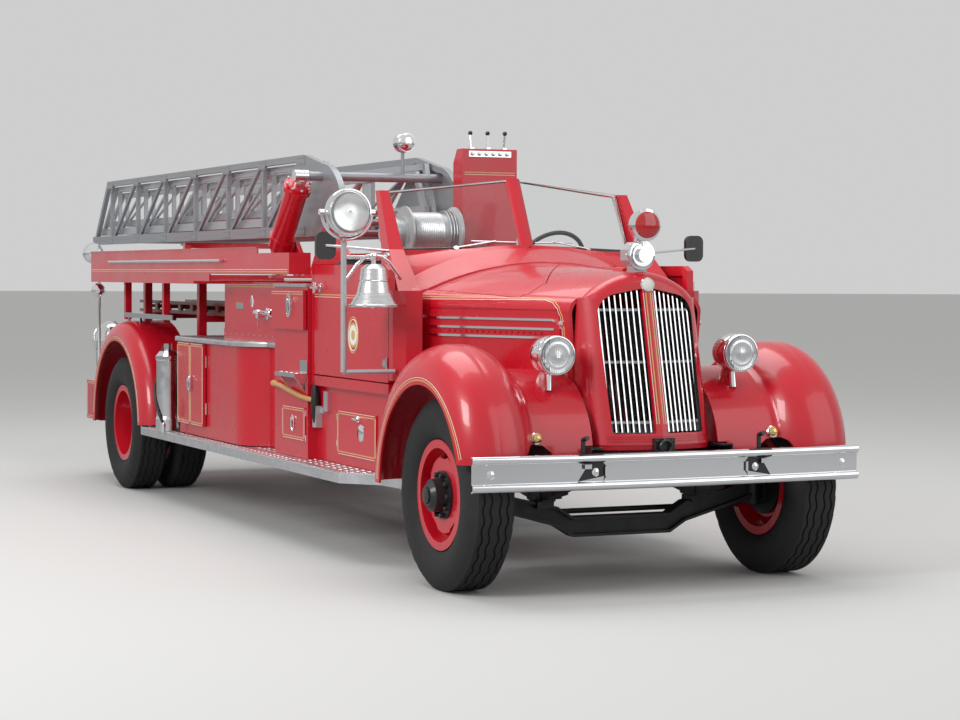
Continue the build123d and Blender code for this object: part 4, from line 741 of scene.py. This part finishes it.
def tyre(heap, place):
    """A tyre about Y: wall and shoulder, the ribs with a groove after every second edge, and back down."""
    rows, walls = list(TYRE_WALL), len(TYRE_WALL)
    for number, across in enumerate(TREAD_EDGES):
        rows.append((across, 0.5145))
        if number in (1, 3, 5, 7):
            rows += [(across + 0.002, 0.505), (TREAD_EDGES[number + 1] - 0.002, 0.505)]
    ends = len(rows)
    rows += [(-across, radius) for across, radius in reversed(TYRE_WALL[1:])] + [(0.076, 0.265)]
    rings = []
    for segment in range(TYRE_SEGMENTS):
        angle = 2 * math.pi * segment / TYRE_SEGMENTS
        swing = 0.005 if segment % 4 < 2 else -0.005
        ring = []
        for row, (across, radius) in enumerate(rows):
            if walls < row < ends - 1:
                across += swing
            if segment % 4 == 3 and row in (walls - 2, walls - 1, ends, ends + 1):
                radius -= 0.007
            ring.append(Vector(place) + Vector((radius * math.cos(angle), across, radius * math.sin(angle))))
        rings.append(ring)
    heap.loft(rings, closed=True)


def round_axle(x, y, radius, count):
    """Places evenly round a wheel's axle."""
    return circle((x, y, AXLE_HEIGHT), (radius, 0, 0), (0, 0, radius), count)


for side, word, short in ((1, "left", "l"), (-1, "right", "r")):
    out = (0, side, 0)
    heap = Heap()
    tyre(heap, (FRONT_AXLE, side * 0.985, AXLE_HEIGHT))
    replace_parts(heap.done(f"tread_front_{word}", f"front_wheel_{short}", "tyre"), f"tyre_front_{word}")
    heap = Heap()
    for y in (0.70, 1.02):
        tyre(heap, (REAR_AXLE, side * y, AXLE_HEIGHT))
    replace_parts(heap.done(f"tread_rear_{word}", f"rear_wheels_{short}", "tyre"), f"tyres_rear_{word}")
    nuts = Heap()
    for spot in round_axle(FRONT_AXLE, side * 1.073, 0.111, 10):
        nuts.turned(LUG_NUT, spot, out, 6)
    cap = (FRONT_AXLE, side * 1.157, AXLE_HEIGHT)
    nuts.turned([(0.046, 0), (0.046, 0.008), (0.020, 0.014)], cap, out, 8)
    nuts.bolts(round_axle(FRONT_AXLE, side * 1.135, 0.068, 8), out, 0.008, 0.006)
    nuts.done(f"lug_nuts_front_{word}", f"front_wheel_{short}", "wheel_black")
    nuts = Heap()
    for spot in round_axle(REAR_AXLE, side * 0.871, 0.142, 10):
        nuts.turned(LUG_NUT, spot, out, 6)
    nuts.bolts(round_axle(REAR_AXLE, side * 1.010, 0.068, 8), out, 0.009, 0.010)
    nuts.done(f"lug_nuts_rear_{word}", f"rear_wheels_{short}", "wheel_black")


# Treads underfoot. Rolled plate with raised lozenges on the running boards, the locker step and the
# tail step, each stud part of the plate, with a bright rolled edge outside.
def lozenges(heap, x_from, x_to, y_from, y_to, z, pitch=0.052, allowed=lambda x, y: True):
    """Raised studs in alternate diagonals over a flat plate."""
    for i in range(int((x_to - x_from) / pitch)):
        for j in range(int((y_to - y_from) / pitch)):
            x, y = x_from + (i + 0.5) * pitch, y_from + (j + 0.5) * pitch
            if not allowed(x, y):
                continue
            slant = 1 if (i + j) % 2 else -1
            along, across = Vector((0.017, 0.010 * slant, 0)), Vector((-0.0035 * slant, 0.006, 0))
            low, high = Vector((x, y, z - 0.0005)), Vector((x, y, z + 0.0022))
            heap.put(
                [
                    low - along, low - across, low + along, low + across, high - along * 0.6,
                    high - across * 0.5, high + along * 0.6, high + across * 0.5
                ],
                [(0, 1, 5, 4), (1, 2, 6, 5), (2, 3, 7, 6), (3, 0, 4, 7), (4, 5, 6, 7)],
            )


def board_edge(x):
    """Half width of the running board at a place along it."""
    if x < 3.27:
        return 1.170
    if x < 3.48:
        return 1.170 - 0.185 * (x - 3.27) / 0.21
    return 0.985 - 0.025 * (x - 3.48) / 0.26


studs, edges = Heap(), Heap()
lozenges(studs, -1.0, 2.33, 1.086, 1.165, 0.530, pitch=0.039)
lozenges(studs, 2.345, 3.46, 0.97, 1.16, 0.533, allowed=lambda x, y: y < board_edge(x) - 0.02 and y < 1.14)
lozenges(studs, 1.045, 1.685, 0.935, 1.08, 0.530, allowed=lambda x, y: math.hypot(x - 1.04, y - 0.752) > 0.35)
lozenges(studs, 1.95, 2.31, 1.055, 1.105, 1.070, pitch=0.048)
lozenges(studs, -2.92, -2.65, 0.0, 0.69, 0.500)
for start, end in (
    ((-1.008, 1.1665), (3.268, 1.1665)), ((3.268, 1.1665), (3.478, 0.982)), ((3.478, 0.982), (3.738, 0.957))
):
    edges.bar((start[0], start[1], 0.527), (end[0], end[1], 0.527), 0.0045, 8)
studs.both().done("tread_studs", "chassis", "bright_tread")
edges.both().done("running_board_edges", "chassis", "chrome")


# Side lockers. Gold and cream lines frame every door, which has plated hinges and an oval ring pull. The
# kick strip and the tall locker's bright cap are screwed on.
def framed(body, tree, side, x_from, x_to, z_from, z_to):
    """Lining round a door, dropped onto its face."""
    corners = [(x_from, z_from), (x_to, z_from), (x_to, z_to), (x_from, z_to), (x_from, z_from)]
    for edge in zip(corners, corners[1:]):
        side_line(body, tree, side, edge, 0.3, flip=1)


def paddle(heap, place, side, tall=0.070, wide=0.030):
    """An oval plate with a ring pull standing in it."""
    x, y, z = place
    heap.tube(circle((x, y + side * 0.003, z), (wide, 0, 0), (0, 0, tall), 28), 0.005, closed=True)
    heap.bar((x, y + side * 0.012, z - tall * 0.5), (x, y + side * 0.012, z + tall * 0.5), 0.007)
    heap.turned([(0.013, 0), (0.013, 0.014), (0.008, 0.018)], (x, y, z + tall * 0.5), (0, side, 0), 14)


for side, word, short in ((1, "left", "l"), (-1, "right", "r")):
    out = (0, side, 0)
    trims, screws = Heap(), Heap()
    for end, x_from, x_to, hinge in (("front", 0.094, 0.364, 0.400), ("rear", -0.222, 0.050, -0.256)):
        door = skin_of(f"cabinet_door_{word}_{end}")
        framed(f"cabinet_{short}_{end}", door, side, x_from, x_to, 0.632, 1.176)
        for z in (0.74, 1.07):
            trims.bar((hinge, side * 1.090, z - 0.04), (hinge, side * 1.090, z + 0.04), 0.0065)
    side_line("chassis", skin_of("side_bodies"), side, [(0.345, 1.604), (1.672, 1.604)], 0.2)
    side_line(f"locker_{short}", skin_of(f"locker_door_{word}"), side, [(1.705, 1.566), (2.305, 1.566)], 0.2)
    for z in (1.40, 1.54):
        trims.bar((1.694, side * 1.030, z - 0.035), (1.694, side * 1.030, z + 0.035), 0.006)
    screws.bolts([(0.37 + 0.128 * n, side * 0.935, 1.273) for n in range(11)], out, 0.007, 0.004)
    screws.bolts([(1.72 + 0.095 * n, side * 1.034, 1.621) for n in range(7)], out, 0.004, 0.003)
    pulls = Heap()
    paddle(pulls, (2.068, side * 1.060, 1.492), side)
    pulls.done(f"locker_pull_{word}", f"locker_{short}", "chrome")
    pulls = Heap()
    paddle(pulls, (0.1145, side * 1.1275, 0.905), side, 0.050, 0.018)
    pulls.done(f"cabinet_pull_{word}", f"cabinet_{short}_front", "chrome")
    # The upper panel: a blank plate, a diamond catch plate and a capped hose outlet with its handle.
    panel, crest, pipe, grip = (side * y for y in (0.930, 0.940, 0.970, 0.996))
    trims.box((0.60, 0.930, 1.450), (0.76, 0.934, 1.492), side)
    trims.put(
        [
            (0.95, panel, 1.548), (0.978, panel, 1.505), (0.95, panel, 1.462), (0.922, panel, 1.505),
            (0.95, crest, 1.540), (0.973, crest, 1.505), (0.95, crest, 1.470), (0.927, crest, 1.505),
        ],
        [(0, 1, 5, 4), (1, 2, 6, 5), (2, 3, 7, 6), (3, 0, 4, 7), (4, 5, 6, 7)],
    )
    outlet = [(0.040, 0), (0.040, 0.006), (0.022, 0.010), (0.022, 0.052), (0.030, 0.056), (0.030, 0.078)]
    trims.turned(outlet + [(0.022, 0.084)], (1.27, panel, 1.425), out, 24)
    trims.bar((1.12, pipe, 1.432), (1.46, pipe, 1.432), 0.016, 14)
    trims.turned([(0.020, 0), (0.026, 0.006), (0.026, 0.03), (0.020, 0.036)], (1.445, pipe, 1.432), AHEAD, 18)
    trims.bar((1.27, grip, 1.425), (1.27, grip, 1.34), 0.006)
    trims.done(f"locker_fittings_{word}", "chassis", "chrome")
    screws.done(f"locker_screws_{word}", "chassis", "rod_steel")


# Sill between the tall locker and the front fender. Two small blank locker doors lined in gold, with
# oval latches; a wooden-handled pick in a grey holster, a grab bracket, a reflector and a clearance lamp.
PICK_HANDLE = (
    (2.378, 0.996, 0.905), (2.345, 1.030, 0.912), (2.24, 1.044, 0.925), (2.05, 1.046, 0.950),
    (1.86, 1.046, 0.975), (1.76, 1.046, 0.982),
)
ash = finish("ash", (0.55, 0.30, 0.11), 0.45)
for side, word in ((1, "left"), (-1, "right")):
    out = (0, side, 0)
    doors, bright, dark, grey, lamp = Heap(), Heap(), Heap(), Heap(), Heap()
    doors.box((1.855, 1.018, 0.640), (2.285, 1.030, 0.850), side)
    doors.box((2.700, 0.956, 0.590), (3.350, 0.968, 0.865), side)
    doors.done(f"sill_doors_{word}", "chassis", "red_paint")
    tree = BVHTree.FromPolygons(doors.verts, doors.faces)
    framed("chassis", tree, side, 1.875, 2.265, 0.660, 0.830)
    framed("chassis", tree, side, 2.722, 3.328, 0.612, 0.843)
    paddle(bright, (2.070, side * 1.031, 0.745), side, 0.052, 0.020)
    bright.turned([(0.052, 0), (0.052, 0.004), (0.046, 0.007)], (3.110, side * 0.968, 0.745), out, 28)
    latch = [(0.020, 0), (0.016, 0.012), (0.010, 0.016), (0.010, 0.026)]
    bright.turned(latch, (3.060, side * 0.968, 0.826), out, 18)
    bright.bar((3.025, side * 0.990, 0.828), (3.105, side * 0.990, 0.822), 0.008)
    for z in (0.66, 0.82):
        for x, y in ((2.292, 1.024), (2.692, 0.964)):
            bright.bar((x, side * y, z - 0.02), (x, side * y, z + 0.02), 0.006)
    bright.box((2.520, 0.960, 0.845), (2.590, 0.990, 0.968), side)
    bright.done(f"sill_fittings_{word}", "chassis", "chrome")
    grey.box((2.345, 0.960, 0.735), (2.410, 1.000, 0.870), side)
    grey.box((2.345, 0.960, 0.825), (2.460, 0.972, 0.862), side)
    grey.done(f"pick_holster_{word}", "chassis", "grey_paint")
    blade = [(0.014, 0), (0.026, 0.06), (0.030, 0.12), (0.026, 0.19), (0.012, 0.25), (0.003, 0.285)]
    dark.turned(blade, (2.378, side * 0.992, 0.765), UP, 12)
    dark.done(f"pick_head_{word}", "chassis", "forged_steel")
    handle = Heap()
    handle.tube([(x, side * y, z) for x, y, z in PICK_HANDLE], 0.016, 12)
    ferrule = [(0.016, 0), (0.021, 0.01), (0.021, 0.05), (0.012, 0.06)]
    handle.turned(ferrule, (1.78, side * 1.046, 0.981), (-1, 0, 0.05), 14)
    handle.done(f"pick_handle_{word}", "chassis", "ladder_wood", ash)
    clearance = [(0.026, 0), (0.026, 0.008), (0.018, 0.018), (0.0005, 0.021)]
    lamp.turned(clearance, (3.690, side * 0.9605, 0.900), out, 20)
    lamp.box((3.665, 0.9605, 0.760), (3.715, 0.966, 0.850), side)
    lamp.done(f"fender_reflector_{word}", "chassis", "red_glass")


# Deck and rear. Lined along the panels, with a bright rail over each rear fender, a lamp slung under the
# deck, a domed can on the tail, plated grab rails down the back and ruby tail lamps.
GRAB_RAIL = (
    (-2.58, 1.07, 1.80), (-2.62, 1.07, 1.785), (-2.635, 1.07, 1.74), (-2.635, 1.07, 0.86), (-2.62, 1.07, 0.80)
)
CAN = (
    (0.050, 0), (0.125, 0.01), (0.132, 0.03), (0.132, 0.22), (0.138, 0.23), (0.132, 0.24), (0.122, 0.30),
    (0.088, 0.36), (0.04, 0.39), (0.0005, 0.395),
)
DECK_LAMP = ((0.052, -0.010), (0.058, -0.004), (0.055, 0), (0.052, 0.030), (0.034, 0.062), (0.0005, 0.075))
TAIL_GLASS = ((0.046, 0.008), (0.043, 0.020), (0.026, 0.030), (0.0005, 0.033))
deck, tail = skin_of("deck_frame"), skin_of("tail_body")
for side in (1, -1):
    side_line("chassis", deck, side, [(-2.56, 1.706), (2.30, 1.706)], 0.4)
bright, ruby, tins = Heap(), Heap(), Heap()
bright.box((-1.93, 1.011, 1.342), (-0.60, 1.041, 1.380))
for x in (-1.86, -1.52):
    bright.box((x - 0.008, 1.018, 1.290), (x + 0.008, 1.034, 1.345))
for x in (-2.05, -0.96):
    bright.box((x - 0.02, 1.009, 1.352), (x + 0.13, 1.013, 1.372))
bright.bar((-2.45, 1.12, 1.622), (-2.45, 1.12, 1.600), 0.010)
bright.turned(DECK_LAMP, (-2.47, 1.12, 1.552), AHEAD, 28)
bright.tube(GRAB_RAIL, 0.014, 12)
bright.turned([(0.030, 0), (0.030, 0.008)], (-2.62, 1.07, 0.800), UP, 16)
tins.turned([(0.018, 0), (0.018, 0.10)], (-2.76, 0.93, 0.800), UP, 16)
tins.turned(CAN, (-2.76, 0.93, 0.900), UP, 36)
tins.tube([(-2.76, 1.064, 1.05), (-2.76, 1.085, 1.09), (-2.76, 1.085, 1.19), (-2.76, 1.064, 1.23)], 0.008)
for y in (0.80, 0.98):
    bright.turned([(0.052, -0.002), (0.052, 0.010), (0.046, 0.014)], (-2.930, y, 0.690), BACK, 24)
    ruby.turned(TAIL_GLASS, (-2.930, y, 0.690), BACK, 24)
bright.both().done("rear_brightwork", "chassis", "chrome")
ruby.both().done("tail_lamps", "chassis", "red_glass")
tins.both().done("tail_cans", "chassis", "rod_steel")
for side in (1, -1):
    framed("chassis", tail, side, -2.905, -2.525, 0.505, 0.775)
heap = Heap()
for x in (-2.05, -0.96):
    heap.bolts([(x - 0.01, 0.985, 1.328), (x + 0.01, 0.975, 1.600)], AHEAD, 0.008, 0.03)
for x in (-2.2, -1.6, -1.0, -0.4, 0.1):
    heap.bolts([(x, 1.132, 1.652), (x, 1.132, 1.84)], RIGHTWARD, 0.008, 0.005)
heap.both().done("deck_screws", "chassis", "rod_steel")


# Extinguishers. Steel cylinders strapped beside the cabinets, each with a black hose looped down from
# its head to a plated nozzle.
HOSE_ROUTE = [
    (-0.462, 1.125, 1.150), (-0.510, 1.125, 1.160), (-0.565, 1.130, 1.130), (-0.570, 1.140, 1.010),
    (-0.545, 1.195, 0.860), (-0.450, 1.215, 0.740), (-0.392, 1.205, 0.650), (-0.375, 1.175, 0.585),
]
for side, name in ((1, "left"), (-1, "right")):
    line = bpy.data.curves.new(f"extinguisher_hose_{name}", "CURVE")
    line.dimensions = "3D"
    line.bevel_depth = 0.009
    line.bevel_resolution = 3
    line.use_fill_caps = True
    spline = line.splines.new("NURBS")
    spline.points.add(len(HOSE_ROUTE) - 1)
    for point, (x, y, z) in zip(spline.points, HOSE_ROUTE):
        point.co = (x, side * y, z, 1)
    spline.order_u = 3
    spline.use_endpoint_u = True
    line.materials.append(paints["wheel_black"])
    hose = bpy.data.objects.new(f"extinguisher_hose_{name}", line)
    bpy.context.scene.collection.objects.link(hose)
    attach(hose, "chassis")
    heap = Heap()
    heap.turned([(0.0095, -0.012), (0.016, -0.004), (0.016, 0.01), (0.013, 0.06), (0.006, 0.075)],
                (-0.375, side * 1.175, 0.585), DOWN, 14)
    nozzle = heap.done(f"extinguisher_nozzle_{name}", "chassis", "chrome")
straps = Heap()
for z in (0.66, 1.00):
    band = [(0.0745, 0), (0.0765, 0.002), (0.0765, 0.022), (0.0745, 0.024)]
    straps.turned(band, (-0.45, 1.12, z), UP, 32)
    straps.box((-0.46, 1.040, z + 0.002), (-0.44, 1.050, z + 0.022))
straps.turned([(0.030, 0), (0.030, 0.010)], (-0.45, 1.12, 1.165), UP, 20)
straps.both().done("extinguisher_straps", "chassis", "chrome")


# Turntable. Bolted ring, wire rope wound on the winch drum, dials let into the pedestal's sloped face,
# and a bolted gland with its oil pipe on each hoist barrel.
DIAL_FACE = (-0.832, 0, 0.555)
HEEL_CAP = ((0.052, 0), (0.052, 0.010), (0.020, 0.016))
heap = Heap()
heap.bolts(circle((1.35, 0, 1.680), (0.865, 0, 0), (0, 0.865, 0), 24, math.radians(5)), UP, 0.013, 0.010)
for side, winch_side in ((1, 0.126), (-1, -0.262)):
    out = (0, side, 0)
    heap.bolts([(x, side * 0.500, 1.70) for x in (0.96, 1.12, 1.28, 1.44, 1.60)], out, 0.011, 0.008)
    heap.turned(HEEL_CAP, (1.30, side * 0.508, 2.010), out, 24)
    for angle in (-0.45, math.pi + 0.45):
        foot = (2.01 + 0.10 * math.cos(angle), winch_side, 1.74 + 0.10 * math.sin(angle))
        heap.bolts([foot], out, 0.010, 0.008)
heap.done("turntable_bolts", "ladder_turret", "rod_steel")
heap = Heap()
for number in range(16):
    y = -0.205 + 0.0128 * number
    heap.tube(circle((2.01, y, 1.96), (0.1325, 0, 0), (0, 0, 0.1325), 32), 0.0062, 6, closed=True)
for y in (0.020, 0.042, 0.062):
    heap.turned([(0.128, 0), (0.152, 0.002), (0.152, 0.010), (0.128, 0.012)], (2.01, y, 1.96), (0, 1, 0), 40)
wire = finish("drawn wire", (0.66, 0.67, 0.69), 0.34, metal=0.9)
heap.done("winch_rope", "ladder_turret", "rod_steel", wire)
bezels, faces = Heap(), Heap()
for y in (0.23, 0.348, 0.466):
    bezel = [(0.040, 0), (0.040, 0.012), (0.035, 0.015), (0.033, 0.010)]
    bezels.turned(bezel, (1.930, y, 2.475), DIAL_FACE, 24)
    faces.turned([(0.033, 0), (0.033, 0.0105)], (1.930, y, 2.475), DIAL_FACE, 24)
bezels.box((2.050, 0.195, 2.468), (2.056, 0.500, 2.506))
bezels.bolts([(2.056, 0.22 + 0.05 * n, 2.487) for n in range(6)], AHEAD, 0.013, 0.010, 12)
case = skin_of("control_pedestal")
lining("ladder_turret", dropped(case, [(3, 0.165, 2.365), (3, 0.530, 2.365)], BACK, 0.2), -1)
bezels.bolts([(1.8995, y, z) for y in (0.17, 0.525) for z in (1.72, 2.02, 2.38)], BACK, 0.009, 0.005)
bezels.done("pedestal_bezels", "ladder_turret", "chrome")
faces.done("pedestal_dials", "ladder_turret", "stripe_paint", dial_white)
OIL_PIPE = ((0.10, 0.080), (0.10, 0.102), (0.13, 0.106), (0.47, 0.106), (0.50, 0.102), (0.50, 0.080))
along = Vector((0.450, 0, 0.480)).normalized()
up = Vector((-along.z, 0, along.x))
glands, pipes = Heap(), Heap()
for y in (0.600, -0.600):
    foot = Vector((0.560, y, 1.885))
    ring = circle(foot + along * 0.588, up * 0.084, (0, 0.084, 0), 8)
    glands.bolts(ring, along, 0.010, 0.010)
    pipes.tube([foot + along * far + up * out for far, out in OIL_PIPE], 0.009)
glands.done("hoist_gland_bolts", "hoist_barrel_pair", "grey_paint")
pipes.done("hoist_pipes", "hoist_barrel_pair", "red_paint")


# Aerial ladder. Riveted lattice: a gusset where each post meets the rails, rivet heads along the rails,
# and a plated lamp standing at the heel.
for body, node, half, low, high, tail_x, depth in (
    ("ladder_first", "ladder_base", 0.450, 1.955, 2.530, -5.250, 0.076),
    ("ladder_second", "ladder_mid", 0.394, 2.042, 2.476, -5.190, 0.062),
    ("ladder_third", "ladder_fly", 0.342, 2.118, 2.422, -5.130, 0.054),
):
    alloy = nodes[node].data.materials[0]
    gussets, rivets = Heap(), Heap()
    face, reach, inset = half + 0.003, depth * 0.42, depth * 0.26
    for side in (1, -1):
        out = (0, side, 0)
        for x in (tail_x + 0.638 + 0.866 * number for number in range(7)):
            for z in (low + depth * 0.5, high - depth * 0.5):
                gussets.box((x - 0.085, half, z - reach), (x + 0.085, face, z + reach), side)
                for across in (-0.066, -0.022, 0.022, 0.066):
                    pair = [(x + across, side * face, z - inset), (x + across, side * face, z + inset)]
                    rivets.bolts(pair, out, 0.0055, 0.003)
        for number in range(56):
            if (number - 4.8) % 8 > 1.6:
                spot = (tail_x + 0.12 + 0.1082 * number, side * half, low + depth * 0.5)
                rivets.bolts([spot], out, 0.0055, 0.003)
    gussets.done(f"{node}_gussets", body, "ladder_metal", alloy)
    rivets.done(f"{node}_rivets", body, "ladder_metal", alloy)
repaint("ladder_base", chrome, lambda p, n: (p - Vector((1.010, 0.150, 2.610))).length < 0.098)
heap = Heap()
heap.turned(
    [(0.062, -0.001), (0.060, 0.008), (0.044, 0.020), (0.022, 0.026), (0.0005, 0.027)],
    (1.084, 0.150, 2.610), AHEAD, 28
)
heap.done("spotlight_glass", "ladder_first", "chrome", reflector)


# Lining. All the gold lines of one body are one thin coat, and the cream ones another.
for body, heap in gold.items():
    heap.done(f"gold_lines_{body}", body, "stripe_paint")
for body, heap in cream_lines.items():
    heap.done(f"cream_lines_{body}", body, "stripe_paint", cream)
